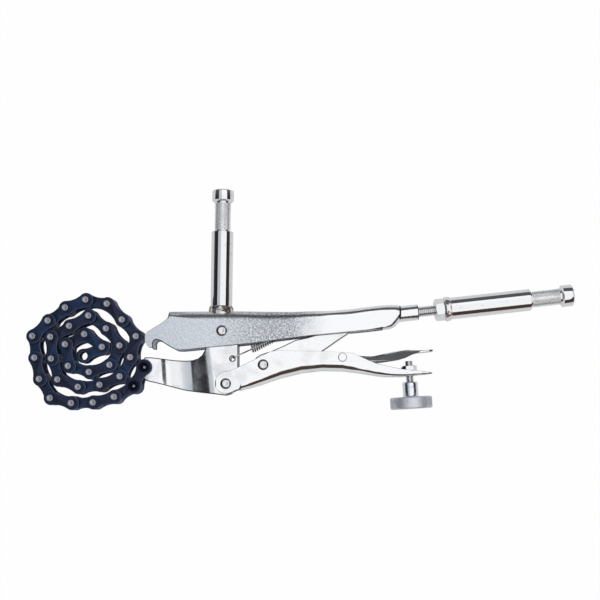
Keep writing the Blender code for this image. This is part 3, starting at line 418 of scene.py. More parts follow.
def finish_named(name):
    """A finish of the clamp, made when it is first asked for."""
    made = bpy.data.materials.get(name)
    if made:
        return made
    tones = bpy.context.scene.clamp_colours
    satin, chrome, steel = tones.satin[:], tones.chrome[:], tones.steel[:]
    zinc, pin, weld = tones.zinc[:], tones.pin[:], tones.weld[:]
    # worn is the lighter edge tone: real wear in the rubbed patches, and on the plates' edges also a painted
    # highlight
    brown, worn, scorch = tones.oxide_brown[:], tones.worn_edge_highlight[:], tones.scorch[:]
    dark = shaded(brown, 0.4)
    makers = {
        "blasted chrome": (blasted, tones.blasted[:], satin, 0.26),
        "satin chrome": (plated, satin, 0.13, 0.000008, 0.74),
        "jaw plating": (plated, tones.jaw[:], 0.17, 0.000006, 0.80),
        # The rims are painted dark, a painted reflection of the dark room over duller plating
        "dark painted rim": (plated, tones.rim[:], 0.28, 0.000010, 0.7),
        "knurl": (plated, satin, 0.24, 0.000005, 0.8),
        "side spigot chrome": (turned_chrome, chrome, 0.07, (25.0, 9000.0, 25.0)),
        "rear spigot chrome": (turned_chrome, chrome, 0.07, (9000.0, 25.0, 25.0)),
        "zinc": (turned_chrome, zinc, 0.16, (25.0, 7000.0, 25.0)),
        "satin zinc": (turned_chrome, zinc, 0.42, (25.0, 7000.0, 25.0), 0.72),
        "black oxide": (oxide, tones.oxide[:], brown, worn, 0.0),
        "worn oxide with painted highlight": (oxide, worn, worn, pin, 0.04),
        "rivet oxide": (oxide, dark, dark, worn, 0.0),
        "pin steel": (ground_steel, pin, 0.34, 0.55),
        "rivet steel": (ground_steel, steel, 0.12, 0.5),
        "thread steel": (ground_steel, steel, 0.14, 0.35),
        "spring wire": (ground_steel, steel, 0.12, 0.4),
        "weld metal": (weld_metal, weld, scorch, 0.010, 0.030),
        "scorched weld": (weld_metal, weld, scorch, -0.0094, -0.0084),
    }
    make, *values = makers[name]
    material, start = new_finish(name)
    make(start, *values)
    return material


def shade(bm, angle=SHARP):
    """Smooth faces with sharp edges where they meet more steeply than some degrees."""
    limit = math.radians(angle)
    for face in bm.faces:
        face.smooth = True
    for edge in bm.edges:
        edge.smooth = not (edge.is_manifold and edge.calc_face_angle() > limit)
    return bm


def close_up(bm):
    bmesh.ops.remove_doubles(bm, verts=bm.verts[:], dist=MERGE)
    bmesh.ops.dissolve_degenerate(bm, dist=MERGE, edges=bm.edges[:])
    bmesh.ops.recalc_face_normals(bm, faces=bm.faces[:])
    return bm


def mark(faces, number):
    """Give faces the finish that has this number in their piece's list."""
    for face in faces:
        face.material_index = number


def break_edges(bm, width, angle, segments=2, clamp=True, material=-1):
    """Round the edges that are steeper than some degrees. Gives the new faces."""
    limit = math.radians(angle)
    made = bmesh.ops.bevel(
        bm,
        geom=[e for e in bm.edges if e.is_manifold and e.calc_face_angle() > limit],
        offset=width,
        offset_type="OFFSET",
        segments=segments,
        profile=0.5,
        affect="EDGES",
        clamp_overlap=clamp,
        material=material,
    )
    return made["faces"]


def join(target, part, place=Matrix()):
    """Add a part to a shape at its place."""
    bmesh.ops.transform(part, matrix=place, verts=part.verts[:])
    mesh = bpy.data.meshes.new("joined")
    part.to_mesh(mesh)
    part.free()
    target.from_mesh(mesh)
    bpy.data.meshes.remove(mesh)


def spun(profile, steps):
    """Shell turned about Z from (radius, height) pairs."""
    bm = bmesh.new()
    verts = [bm.verts.new((radius, 0, height)) for radius, height in profile]
    edges = [bm.edges.new(pair) for pair in zip(verts, verts[1:])]
    bmesh.ops.spin(
        bm,
        geom=verts + edges,
        cent=(0, 0, 0),
        axis=(0, 0, 1),
        angle=math.tau,
        steps=steps,
        use_merge=True,
    )
    return close_up(bm)


def both_ways(side, steps):
    """Shell turned about Z that is the same below zero as above it."""
    return spun([(radius, -height) for radius, height in reversed(side)] + side[1:], steps)


def standing(foot, axis):
    """Place of a shape turned about Z that stands at a foot along an axis."""
    turn = Vector(axis).to_track_quat("Z", "X")
    return Matrix.Translation(foot) @ turn.to_matrix().to_4x4()


def raised(height):
    return Matrix.Translation((0, 0, height))


def keep(name, bm, body, finishes, stands_for):
    """Hang a finished shape on its body, or on none where it spans two."""
    mesh = bpy.data.meshes.new(name)
    bm.to_mesh(mesh)
    bm.free()
    for finish in finishes:
        mesh.materials.append(finish_named(finish))
    piece = bpy.data.objects.new(name, mesh)
    bpy.context.scene.collection.objects.link(piece)
    if body:
        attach(piece, body)
    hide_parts(*stands_for)
    return piece


def body_of(node):
    bodies = frame["record"]["behaviour"]["bodies"]
    return next(body for body, nodes in bodies.items() if node in nodes)


def stand_in(node, bm, finishes, place=Matrix()):
    """Keep a shape in place of a node, on its body."""
    bmesh.ops.transform(bm, matrix=place, verts=bm.verts[:])
    return keep(node + "_look", bm, body_of(node), finishes, [node])


def centre_of(node):
    low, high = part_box(node)
    return (low + high) / 2


def merged_copy(node):
    """Copy of a node's mesh with its doubles merged and its flats made whole."""
    bm = bmesh.new()
    bm.from_mesh(frame["nodes"][node].data)
    bmesh.ops.remove_doubles(bm, verts=bm.verts[:], dist=5 * MERGE)
    flat = math.radians(0.4)
    bmesh.ops.dissolve_limit(bm, angle_limit=flat, verts=bm.verts[:], edges=bm.edges[:])
    return bm


# Half width and fold radius of the upper handle in the solid
HANDLE_HALF = 12.3 * MM
HANDLE_FOLD = 5.225 * MM
# Where its fold is opened along the handle, and where that begins at the nose
FOLD_START = -120 * MM
FOLD_END = 26 * MM
NOSE = -98.5 * MM
NOSE_RAMP = 6 * MM
# Where its top edge is raised, how fast that comes and goes, and by how much
RAISED_FROM, RAISED_IN = -50 * MM, 12 * MM
RAISED_TO, RAISED_OUT = 24 * MM, 20 * MM
RAISED_BY = 1.2 * MM
# Where the release lever starts to lean, along the handle, and where it leans no more
LEVER_LEANS, LEVER_UPRIGHT = 78 * MM, 90 * MM


def held(share):
    return min(max(share, 0.0), 1.0)


def open_fold(bm, fold, wide):
    """Open the upper handle's top fold to a wider radius and raise its top edge."""
    tops = {}
    for vert in bm.verts:
        side = abs(vert.co.z - MIDDLE)
        if abs(side - (HANDLE_HALF - fold)) < 0.03 * MM:
            key = round(vert.co.x / (0.05 * MM)) * 0.05 * MM
            tops[key] = max(tops.get(key, -1.0), vert.co.y)
    keys = sorted(tops)
    for vert in bm.verts:
        x = vert.co.x
        if not FOLD_START < x < FOLD_END:
            continue
        after = next((key for key in keys if key >= x), keys[-1])
        before = max((key for key in keys if key <= x), default=keys[0])
        share = (x - before) / (after - before) if after > before else 0.0
        top = tops[before] + (tops[after] - tops[before]) * share
        rest = (FOLD_END - x) / (FOLD_END - FOLD_START)
        radius = fold + (wide - fold) * min(4 * rest, held((x - NOSE) / NOSE_RAMP))
        lift = min(held((x - RAISED_FROM) / RAISED_IN), held((RAISED_TO - x) / RAISED_OUT))
        rise = vert.co.y - (top - fold)
        out = abs(vert.co.z - MIDDLE) - (HANDLE_HALF - fold)
        if min(rise, out) < -0.05 * MM or abs(math.hypot(rise, out) - fold) > 0.2 * MM:
            continue
        vert.co.y = top + RAISED_BY * lift - radius + radius * rise / fold
        side = HANDLE_HALF - radius + radius * out / fold
        vert.co.z = MIDDLE + math.copysign(side, vert.co.z - MIDDLE)
    return bm


def lean(bm, start, end, share):
    """Lean the walls of a folded lever inwards, towards its fold."""
    grid = 0.3 * MM
    spans = {}
    for vert in bm.verts:
        span = spans.setdefault(round(vert.co.x / grid), [vert.co.y, vert.co.y])
        span[0] = min(span[0], vert.co.y)
        span[1] = max(span[1], vert.co.y)
    keys = sorted(key for key, span in spans.items() if span[1] - span[0] > 2.0 * MM)
    for vert in bm.verts:
        low, high = spans[min(keys, key=lambda key: abs(key * grid - vert.co.x))]
        rise = held((vert.co.y - low) / (high - low))
        fade = held((end - vert.co.x) / (end - start))
        vert.co.z = MIDDLE + (vert.co.z - MIDDLE) * (1 - share * rise * fade)
    return bm


# Place along the solid cheek's bends, and its middle's offset there, in millimetres
SOLID_BENDS = (
    (-64.0, 8.3), (-67.36, 8.3), (-79.35, 3.5), (-92.48, 3.5), (-102.19, 5.2),
    (-112.0, 5.2),
)
# Place along the shown cheek, its slope in degrees there, and how far that line leans
CHEEK_SLOPES = (
    (-64.5, 0.0, 0.12), (-66.0, -10.0, 0.12), (-68.8, -20.5, 0.12),
    (-70.5, -24.5, 0.11), (-72.6, -23.0, 0.10), (-75.0, -20.5, 0.09),
    (-78.0, -19.5, 0.09), (-80.0, -21.0, 0.08), (-81.0, -17.0, 0.08),
    (-82.0, -9.0, 0.08), (-83.5, -5.0, 0.08), (-86.0, -3.0, 0.08), (-90.0, 0.0, 0.10),
    (-96.0, 0.0, 0.12), (-97.6, 4.0, 0.12), (-98.5, 16.0, 0.12), (-99.2, 30.0, 0.10),
    (-102.2, 31.5, 0.07), (-103.0, 16.0, 0.06), (-103.8, 4.0, 0.05), (-105.0, 2.0, 0.0),
    (-112.0, 2.5, 0.0),
)
# Middle of the cheek across its length, and the grid that it is cut to for its bends
CHEEK_MIDDLE = -56.2 * MM
CHEEK_COLUMNS = 54
CHEEK_ROW = 3.1 * MM


def solid_offset(along):
    """Offset of the solid cheek's middle from the tool's middle plane."""
    for (near, one), (far, other) in zip(SOLID_BENDS, SOLID_BENDS[1:]):
        if near * MM >= along >= far * MM:
            return (one + (other - one) * (near - along / MM) / (near - far)) * MM
    return SOLID_BENDS[-1 if along < SOLID_BENDS[-1][0] * MM else 0][1] * MM


def joggle(bm):
    """Give a cheek rounded joggles that lean a little, in place of the solid's bends."""
    first, last = CHEEK_SLOPES[0][0] * MM, CHEEK_SLOPES[-1][0] * MM
    column = (last - first) / CHEEK_COLUMNS
    cuts = [((first + column * step, 0, 0), (1, 0, 0)) for step in range(-8, CHEEK_COLUMNS + 1)]
    cuts += [((0, CHEEK_MIDDLE + step * CHEEK_ROW, 0), (0, 1, 0)) for step in range(-9, 11)]
    for place, way in cuts:
        whole = bm.verts[:] + bm.edges[:] + bm.faces[:]
        bmesh.ops.bisect_plane(bm, geom=whole, dist=MERGE, plane_co=place, plane_no=way)
    heights = [0.0]
    for one, other in zip(CHEEK_SLOPES, CHEEK_SLOPES[1:]):
        rise = math.tan(math.radians((one[1] + other[1]) / 2))
        heights.append(heights[-1] + rise * (one[0] - other[0]) * MM)
    lowered = SOLID_BENDS[-1][1] * MM - heights[-1]
    high = SOLID_BENDS[0][1] * MM
    for vert in bm.verts:
        x = vert.co.x
        across = vert.co.y - CHEEK_MIDDLE
        lines = [(place * MM - tilt * across, slope) for place, slope, tilt in CHEEK_SLOPES]
        if x >= lines[0][0]:
            continue
        new = SOLID_BENDS[-1][1] * MM
        for step, (one, other) in enumerate(zip(lines, lines[1:])):
            if one[0] >= x > other[0]:
                share = (one[0] - x) / (one[0] - other[0])
                mean = one[1] + (other[1] - one[1]) * share / 2
                width = (CHEEK_SLOPES[step][0] - CHEEK_SLOPES[step + 1][0]) * MM
                new = heights[step] + math.tan(math.radians(mean)) * width * share
                ease = held((first - x) / (first - last))
                new += high + (lowered - high) * min(ease * 2.2, 1.0)
                break
        side = math.copysign(1, vert.co.z - MIDDLE)
        vert.co.z += side * (new - solid_offset(x))
    bmesh.ops.recalc_face_normals(bm, faces=bm.faces[:])
    return bm


def rims(bm, width):
    """Round the sheared edges of a pressed shape and mark their rims, with its small chamfers, for the rim finish,
    whose dark tone is a painted reflection of the dark room over a duller plating.
    """
    for face in bm.faces:
        longest = max(edge.calc_length() for edge in face.edges)
        if 0.3 < abs(face.normal.z) < 0.95 and face.calc_area() < 0.9 * MM * longest:
            face.material_index = 1
    break_edges(bm, width, FOLD, 3, False, 1)
    return bm


def pressed_piece(node, bm, finish, fold=FOLD, even_out=True):
    """Keep a pressed shape in place of its node, with its folds shaded smooth."""
    shade(bm, fold)
    piece = stand_in(node, bm, [finish, "dark painted rim"])
    if even_out:
        even = piece.modifiers.new("even", "WEIGHTED_NORMAL")
        even.keep_sharp = True


class CLAMP_OT_pressed(bpy.types.Operator):
    """Make the handles, the toggle link, the release lever and the jaw cheeks"""

    bl_idname = "chain_clamp.pressed"
    bl_label = "Pressed pieces"

    def execute(self, context):
        sizes = context.scene.clamp_pressed
        bm = open_fold(merged_copy("upper_handle"), HANDLE_FOLD, sizes.wide_fold)
        pressed_piece("upper_handle", rims(bm, sizes.edge), "blasted chrome")
        for node in ("lower_handle", "toggle_link"):
            pressed_piece(node, rims(merged_copy(node), sizes.edge), "satin chrome")
        bm = lean(merged_copy("release_lever"), LEVER_LEANS, LEVER_UPRIGHT, sizes.lever_lean)
        pressed_piece("release_lever", rims(bm, sizes.edge), "satin chrome")
        for node in ("jaw_cheek_front", "jaw_cheek_back"):
            bm = joggle(rims(merged_copy(node), sizes.jaw_edge))
            pressed_piece(node, bm, "jaw plating", SHARP, even_out=False)
        return {"FINISHED"}


def rivet_shape(end, head, shank, height, flush):
    """Rivet along Z with domed heads, or with flush ones."""
    neck = end - height
    side = [
        (shank, 0), (shank, neck), (head, neck), (0.99 * head, end - 0.97 * height),
        (0.95 * head, end - 0.86 * height), (0.78 * head, end - 0.46 * height),
        (0.60 * head, end - 0.05 * height), (0.54 * head, end),
        (0.48 * head, end - 0.02 * height), (0.32 * head, end - 0.14 * height),
        (0, end - 0.18 * height),
    ]
    if flush:
        side[3:] = [
            (0.98 * head, end - 0.30 * height), (0.92 * head, end - 0.05 * height),
            (0.86 * head, end), (0, end + 0.02 * height),
        ]
    return shade(both_ways(side, 48), 50)


class CLAMP_OT_rivets(bpy.types.Operator):
    """Make the solid rivets of the linkage"""

    bl_idname = "chain_clamp.rivets"
    bl_label = "Rivets"

    def execute(self, context):
        sizes = context.scene.clamp_rivets
        for node in ("jaw_pivot_rivet", "handle_pivot_rivet", "toggle_rivet", "release_rivet"):
            low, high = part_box(node)
            small = node == "release_rivet"
            head = sizes.small_head if small else sizes.head_radius
            shank = sizes.small_shank if small else sizes.shank_radius
            bm = rivet_shape((high.z - low.z) / 2, head, shank, sizes.head_height, small)
            finish = "satin chrome" if small else "rivet steel"
            stand_in(node, bm, [finish], Matrix.Translation((low + high) / 2))
        return {"FINISHED"}


def spigot_shape(sizes, barrel, neck_length, bore=0, bore_depth=0):
    """Spigot along Z: barrel, knurled neck and chamfered head."""
    radius = sizes.radius
    neck = sizes.neck_radius
    cut = sizes.chamfer
    neck_end = barrel + neck_length
    top = neck_end + sizes.head
    plain = 0.9 * MM
    edge = 0.5 * MM
    rows = 2 * sizes.knurl_rows
    columns = 2 * sizes.knurl_columns
    low = barrel + plain
    step = (neck_end - plain - low) / rows
    profile = [(0, bore_depth), (bore, bore_depth), (bore, 0)] if bore else [(0, 0)]
    profile += [(radius - edge, 0), (radius - 0.15 * edge, 0.15 * edge), (radius, edge)]
    profile += [(radius, barrel - 2 * edge), (radius, barrel - edge)]
    profile += [(radius - 0.3 * edge, barrel - 0.3 * edge), (radius - edge, barrel)]
    groove = neck - sizes.knurl_depth
    profile += [(groove, barrel), (groove, low - 0.4 * MM)]
    profile += [(neck, low + step * row) for row in range(rows + 1)]
    profile += [(groove, neck_end - 0.4 * MM), (groove, neck_end)]
    profile += [(radius - 0.9 * cut, neck_end), (radius, neck_end + 0.75 * cut)]
    profile += [(radius, top - 0.5 * cut), (radius - 0.12 * cut, top - 0.25 * cut)]
    profile += [(radius - 0.5 * cut, top), (0, top)]
    bm = spun(profile, columns)
    band = set()
    for vert in bm.verts:
        spoke = Vector((vert.co.x, vert.co.y, 0))
        row = round((vert.co.z - low) / step)
        if 0 <= row <= rows and abs(spoke.length - neck) < 0.1 * MM:
            turn = math.atan2(spoke.y, spoke.x) / math.tau * columns
            if (round(turn) + row) % 2:
                vert.co -= spoke.normalized() * sizes.knurl_depth
            band.add(vert)
    shade(bm, 40)
    knurl = [face for face in bm.faces if band.issuperset(face.verts)]
    bmesh.ops.triangulate(bm, faces=knurl, quad_method="SHORT_EDGE")
    for face in bm.faces:
        if band.issuperset(face.verts):
            face.smooth = False
            face.material_index = 1
    return bm


def lumpy_ring(inner, outer, low, high, lumps, seed):
    """Weld bead about Z, from a low toe to its top against the post."""
    middle = (inner + outer) / 2
    rise = high - low
    profile = [
        (inner - 0.3 * MM, low), (outer, low), (outer + 0.1 * MM, low + 0.35 * rise),
        (0.35 * middle + 0.65 * outer, low + 0.72 * rise),
        (0.8 * middle + 0.2 * outer, low + 0.92 * rise),
        (0.5 * middle + 0.5 * inner, high), (inner - 0.3 * MM, high + 0.1 * MM),
        (inner - 0.3 * MM, low),
    ]
    bm = spun(profile, 144)
    bmesh.ops.subdivide_edges(bm, edges=bm.edges[:], cuts=1, use_grid_fill=True, smooth=1.0)
    for vert in bm.verts:
        spoke = Vector((vert.co.x, vert.co.y, 0))
        out = (spoke.length - inner) / (outer - inner)
        if out <= 0.0:
            continue
        turn = math.atan2(spoke.y, spoke.x)
        ripple = abs(math.sin(turn * lumps / 2 + 1.5 * out))
        rough = noise.noise(vert.co / (3.4 * MM) + Vector((seed, 0, 0)))
        swell = (0.20 * ripple - 0.15 + 0.45 * rough) * MM * min(out * 2.0, 1.0)
        way = (spoke.normalized() + Vector((0, 0, 0.8))).normalized()
        vert.co += way * swell
    close_up(bm)
    return shade(bm, 80)


def spigot_stand(mount, reach):
    """Place of a spigot's shape, from the mount on its end."""
    end = next(m for m in frame["record"]["mounts"] if m["name"] == mount)
    axis = Vector(end["axis"]).normalized()
    return standing(Vector(end["pos_m"]) - axis * reach, axis)


class CLAMP_OT_spigots(bpy.types.Operator):
    """Make the side spigot, its weld and the rear spigot"""

    bl_idname = "chain_clamp.spigots"
    bl_label = "Spigots"

    def execute(self, context):
        sizes = context.scene.clamp_spigots
        stand = spigot_stand("side_spigot_end", SIDE_SPIGOT_REACH)
        bm = spigot_shape(sizes, sizes.side_barrel, sizes.side_neck)
        stand_in("side_spigot", bm, ["side spigot chrome", "knurl"], stand)
        bead = lumpy_ring(sizes.radius, sizes.weld_radius, -2.6 * MM, sizes.weld_height, 7, 3.0)
        stand_in("spigot_weld", bead, ["scorched weld"], stand)
        bore = context.scene.clamp_screws.rod_radius + 0.3 * MM
        bm = spigot_shape(sizes, sizes.rear_barrel, sizes.rear_neck, bore, REAR_BORE_DEPTH)
        bead = lumpy_ring(sizes.radius, sizes.radius + 0.7 * MM, 0.1 * MM, 4.0 * MM, 8, 11.0)
        mark(bead.faces, 2)
        join(bm, bead)
        stand = spigot_stand("rear_spigot_end", REAR_SPIGOT_REACH)
        stand_in("rear_spigot", bm, ["rear spigot chrome", "knurl", "weld metal"], stand)
        return {"FINISHED"}


def threaded(radius, lead, low, high):
    """Screw thread about Z between two heights."""
    root = radius - 0.6 * lead
    crest = 0.17 * lead
    half = 0.5 * lead
    bm = bmesh.new()
    profile = [(root, 0), (radius, half - crest), (radius, half + crest), (root, lead)]
    verts = [bm.verts.new((r, 0, h)) for r, h in profile]
    edges = [bm.edges.new(pair) for pair in zip(verts, verts[1:])]
    turns = math.ceil((high - low) / lead) + 3
    per_turn = 28
    bmesh.ops.spin(
        bm,
        geom=verts + edges,
        cent=(0, 0, 0),
        axis=(0, 0, 1),
        dvec=(0, 0, lead / per_turn),
        angle=math.tau * turns,
        steps=per_turn * turns,
    )
    bmesh.ops.translate(bm, verts=bm.verts[:], vec=(0, 0, low - 2 * lead))
    bmesh.ops.remove_doubles(bm, verts=bm.verts[:], dist=MERGE)
    trim(bm, (0, 0, low), (0, 0, -1))
    trim(bm, (0, 0, high), (0, 0, 1))
    close_up(bm)
    return shade(bm, 45)


def trim(bm, place, outward):
    """Cut a shape off at a plane and close it."""
    whole = bm.verts[:] + bm.edges[:] + bm.faces[:]
    cut = bmesh.ops.bisect_plane(
        bm, geom=whole, dist=MERGE, plane_co=place, plane_no=outward, clear_outer=True
    )
    rim = [item for item in cut["geom_cut"] if isinstance(item, bmesh.types.BMEdge)]
    bmesh.ops.edgeloop_fill(bm, edges=[edge for edge in rim if edge.is_boundary])


def nut_shape(across, bore, tall):
    """Chamfered hexagon nut about Z, from zero to its height."""
    corner = across / math.sqrt(3)
    flat = across / 2
    lip = 0.35 * MM
    chamfer = (corner - 0.94 * flat) * math.tan(math.radians(30))
    profile = [
        (bore + lip, 0), (0.94 * flat, 0), (corner, chamfer), (corner, tall - chamfer),
        (0.94 * flat, tall), (bore + lip, tall), (bore, tall - lip), (bore, lip),
        (bore + lip, 0),
    ]
    bm = spun(profile, 72)
    for side in range(6):
        turn = math.radians(60 * side)
        out = Vector((math.cos(turn), math.sin(turn), 0))
        trim(bm, out * flat, out)
    close_up(bm)
    break_edges(bm, 0.18 * MM, 35)
    return shade(bm)


class CLAMP_OT_screws(bpy.types.Operator):
    """Make the adjusting screw and its jam nut"""

    bl_idname = "chain_clamp.screws"
    bl_label = "Adjusting screw"

    def execute(self, context):
        sizes = context.scene.clamp_screws
        stand = spigot_stand("rear_spigot_end", REAR_SPIGOT_REACH)
        bm = threaded(sizes.rod_radius, sizes.rod_lead, ROD_LOW, ROD_HIGH)
        stand_in("adjusting_screw", bm, ["thread steel"], stand)
        nut = nut_shape(sizes.nut_across, sizes.rod_radius, sizes.nut)
        lowered = stand @ raised(-sizes.nut - 0.3 * MM)
        stand_in("jam_nut", nut, ["rear spigot chrome"], lowered)
        return {"FINISHED"}


def knob_shape(sizes):
    """Knob about Z: hub on top, ridged disc below it. The hub's top is at zero."""
    hub = -sizes.hub
    end = hub - sizes.knob
    rim = sizes.knob_radius
    post = sizes.hub_radius
    groove = post - 0.25 * MM
    lip = 0.9 * MM
    bore = sizes.lock_radius + 0.1 * MM
    rows = 6
    low = end + lip
    high = hub - lip
    floor = -KNOB_BORE_DEPTH
    profile = [(0, floor), (bore, floor), (bore, -0.4 * MM), (bore + 0.4 * MM, 0)]
    profile += [(post - 0.8 * MM, 0), (post, -0.8 * MM), (post, -3.4 * MM)]
    profile += [(groove, -3.6 * MM), (groove, -4.2 * MM), (post, -4.4 * MM)]
    profile += [(post, hub + 0.5 * MM), (post + 0.5 * MM, hub)]
    profile += [(rim - 1.3 * MM, hub), (rim - 0.5 * MM, hub - 0.35 * MM), (rim, high)]
    profile += [(rim, high + (low - high) * row / rows) for row in range(1, rows)]
    profile += [(rim, low), (rim - 0.5 * MM, end + 0.35 * MM), (rim - 1.3 * MM, end), (0, end)]
    columns = 2 * sizes.knob_columns
    bm = spun(profile, columns)
    for vert in bm.verts:
        spoke = Vector((vert.co.x, vert.co.y, 0))
        if spoke.length > rim - 0.01 * MM and low + 0.3 * MM < vert.co.z < high - 0.3 * MM:
            turn = math.atan2(spoke.y, spoke.x) / math.tau * columns
            if round(turn) % 2:
                vert.co -= spoke.normalized() * 0.25 * MM
    wide = post + 0.6 * MM
    mark([f for f in bm.faces if max(v.co.xy.length for v in f.verts) > wide], 1)
    return shade(bm, 50)


class CLAMP_OT_lock(bpy.types.Operator):
    """Make the lock screw, its nut and its knob"""

    bl_idname = "chain_clamp.lock"
    bl_label = "Lock screw"

    def execute(self, context):
        sizes = context.scene.clamp_screws
        turn = next(j for j in frame["joints"] if j["name"] == "lock_knob_turn")
        stand = standing(Vector(turn["pos_m"]), Vector(turn["axis"]).normalized())
        bm = threaded(sizes.lock_radius, sizes.lock_lead, LOCK_LOW, LOCK_HIGH)
        stand_in("lock_screw", bm, ["thread steel"], stand)
        nut = nut_shape(sizes.lock_nut_across, sizes.lock_radius, sizes.lock_nut)
        stand_in("lock_nut", nut, ["side spigot chrome"], stand @ raised(LOCK_NUT_RISE))
        knob = knob_shape(sizes)
        stand_in("lock_knob", knob, ["zinc", "satin zinc"], stand @ raised(-KNOB_DROP))
        return {"FINISHED"}


def spring_route(sizes):
    """Centre line of the spring: hook, lead, coil and lead, in the frame."""
    start = JAW_PIVOT + SPRING_START
    end = JAW_PIVOT + SPRING_END
    along = (end - start).normalized()
    up = Vector((0, 0, 1))
    across = up.cross(along)
    bend = 1.6 * MM
    start += 1.1 * MM * along
    high = start + up * 7.0 * MM
    points = [start]
    for step in range(9):
        turn = step / 8 * math.pi / 2
        hook = math.sin(turn) * up - math.cos(turn) * along
        points.append(high + bend * (along + hook) - bend * up)
    points.append(high + 4.4 * MM * along)
    first = start + 13.9 * MM * along
    span = 38.0 * MM
    per_turn = 14
    steps = sizes.turns * per_turn
    points.append(first - 2.2 * MM * along + 3.0 * MM * up)
    for step in range(steps + 1):
        turn = step / per_turn * math.tau
        ease = min(step / (0.6 * per_turn), (steps - step) / (0.6 * per_turn), 1.0)
        spoke = math.cos(turn) * across + math.sin(turn) * up
        points.append(first + span * step / steps * along + sizes.coil * ease * spoke)
    points.append(end - 1.5 * MM * along)
    points.append(end)
    return points


class CLAMP_OT_spring(bpy.types.Operator):
    """Make the jaw spring"""

    bl_idname = "chain_clamp.spring"
    bl_label = "Jaw spring"

    def execute(self, context):
        sizes = context.scene.clamp_spring
        points = spring_route(sizes)
        curve = bpy.data.curves.new("spring line", "CURVE")
        curve.dimensions = "3D"
        curve.bevel_depth = sizes.wire
        curve.bevel_resolution = 2
        curve.use_fill_caps = True
        line = curve.splines.new("POLY")
        line.points.add(len(points) - 1)
        for slot, point in zip(line.points, points):
            slot.co = (*point, 1)
        holder = bpy.data.objects.new("spring line", curve)
        bpy.context.scene.collection.objects.link(holder)
        context.view_layer.update()
        seen = holder.evaluated_get(context.evaluated_depsgraph_get())
        mesh = bpy.data.meshes.new_from_object(seen)
        bpy.data.objects.remove(holder)
        bm = bmesh.new()
        bm.from_mesh(mesh)
        bpy.data.meshes.remove(mesh)
        shade(close_up(bm), 60)
        name = "jaw_spring_look"
        piece = keep(name, bm, None, ["spring wire"], ["jaw_spring"])
        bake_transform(piece)
        return {"FINISHED"}


def plate_shape(sizes, radius, bore):
    """Figure-eight plate on Z = 0 from the pin at the origin to the next pin along X."""
    waist = sizes.waist
    half = sizes.pitch / 2
    hollow = (half**2 + waist**2 - radius**2) / (2 * (radius - waist))
    centre = Vector((half, waist + hollow, 0))
    meet = math.atan2(centre.y, centre.x)
    up = (0, 0, 1)
    bm = bmesh.new()
    first = bm.verts.new((-radius, 0, 0))
    turn = meet - math.pi
    made = bmesh.ops.spin(bm, geom=[first], cent=(0, 0, 0), axis=up, angle=turn, steps=12)
    last = [item for item in made["geom_last"] if isinstance(item, bmesh.types.BMVert)]
    turn = math.pi / 2 - meet
    bmesh.ops.spin(bm, geom=last, cent=centre, axis=up, angle=turn, steps=7)
    bmesh.ops.translate(bm, verts=bm.verts[:], vec=(-half, 0, 0))
    for axis in ("X", "Y"):
        whole = bm.verts[:] + bm.edges[:]
        bmesh.ops.mirror(bm, geom=whole, matrix=Matrix(), merge_dist=MERGE, axis=axis)
    bmesh.ops.remove_doubles(bm, verts=bm.verts[:], dist=MERGE)
    bmesh.ops.translate(bm, verts=bm.verts[:], vec=(half, 0, 0))
    for place in (0, sizes.pitch):
        spot = Matrix.Translation((place, 0, 0))
        bmesh.ops.create_circle(bm, segments=28, radius=bore, matrix=spot)
    bmesh.ops.triangle_fill(bm, use_beauty=True, edges=bm.edges[:])
    lifted = bmesh.ops.extrude_face_region(bm, geom=bm.faces[:], use_keep_orig=True)
    top = [item for item in lifted["geom"] if isinstance(item, bmesh.types.BMVert)]
    bmesh.ops.translate(bm, verts=top, vec=(0, 0, sizes.sheet))
    close_up(bm)
    flat = math.radians(1)
    bmesh.ops.dissolve_limit(bm, angle_limit=flat, verts=bm.verts[:], edges=bm.edges[:])
    # The rounded edges take the lighter worn finish, which paints a highlight along them as well as wear
    mark(break_edges(bm, sizes.edge, 60), 1)
    return shade(bm)


def pin_shape(radius, half):
    """Chain pin about Z with rounded ends and a punched dimple."""
    side = [
        (radius, 0), (radius, half - 0.55 * MM), (0.97 * radius, half - 0.25 * MM),
        (0.86 * radius, half - 0.06 * MM), (0.72 * radius, half),
        (0.50 * radius, half - 0.12 * MM), (0.28 * radius, half - 0.30 * MM),
        (0, half - 0.36 * MM),
    ]
    bm = both_ways(side, 28)
    mark(bm.faces, 2)
    return shade(bm, 40)


def ring_shape(inner, outer, half, lip):
    """Ring about Z with rounded rims."""
    profile = [
        (inner, -half + lip), (inner + lip, -half), (outer - lip, -half),
        (outer - 0.2 * lip, -half + 0.2 * lip), (outer, -half + lip),
        (outer, half - lip), (outer - 0.2 * lip, half - 0.2 * lip), (outer - lip, half),
        (inner + lip, half), (inner, half - lip), (inner, -half + lip),
    ]
    return shade(spun(profile, 36), 50)


def outer_link_shape(sizes):
    back = sizes.roller_half + sizes.sheet + sizes.gap
    bm = bmesh.new()
    for low in (back, -back - sizes.sheet):
        join(bm, plate_shape(sizes, sizes.radius, sizes.pin_radius + 0.05 * MM), raised(low))
    for place in (0, sizes.pitch):
        join(bm, pin_shape(sizes.pin_radius, sizes.pin_half), Matrix.Translation((place, 0, 0)))
    return bm


def inner_link_shape(sizes, bore, filled, wall):
    """Inner link with a bush and a roller on each of the filled places."""
    bm = bmesh.new()
    bush = bore + wall
    half = sizes.roller_half
    for low in (half, -half - sizes.sheet):
        join(bm, plate_shape(sizes, sizes.radius, bush), raised(low))
    for place in filled:
        bushing = ring_shape(bore, bush, half + sizes.sheet, 0.15 * MM)
        roller = ring_shape(bush + 0.02 * MM, sizes.roller_radius, half - 0.1 * MM, 0.4 * MM)
        for part in (bushing, roller):
            mark(part.faces, 3)
            join(bm, part, Matrix.Translation((place, 0, 0)))
    return bm


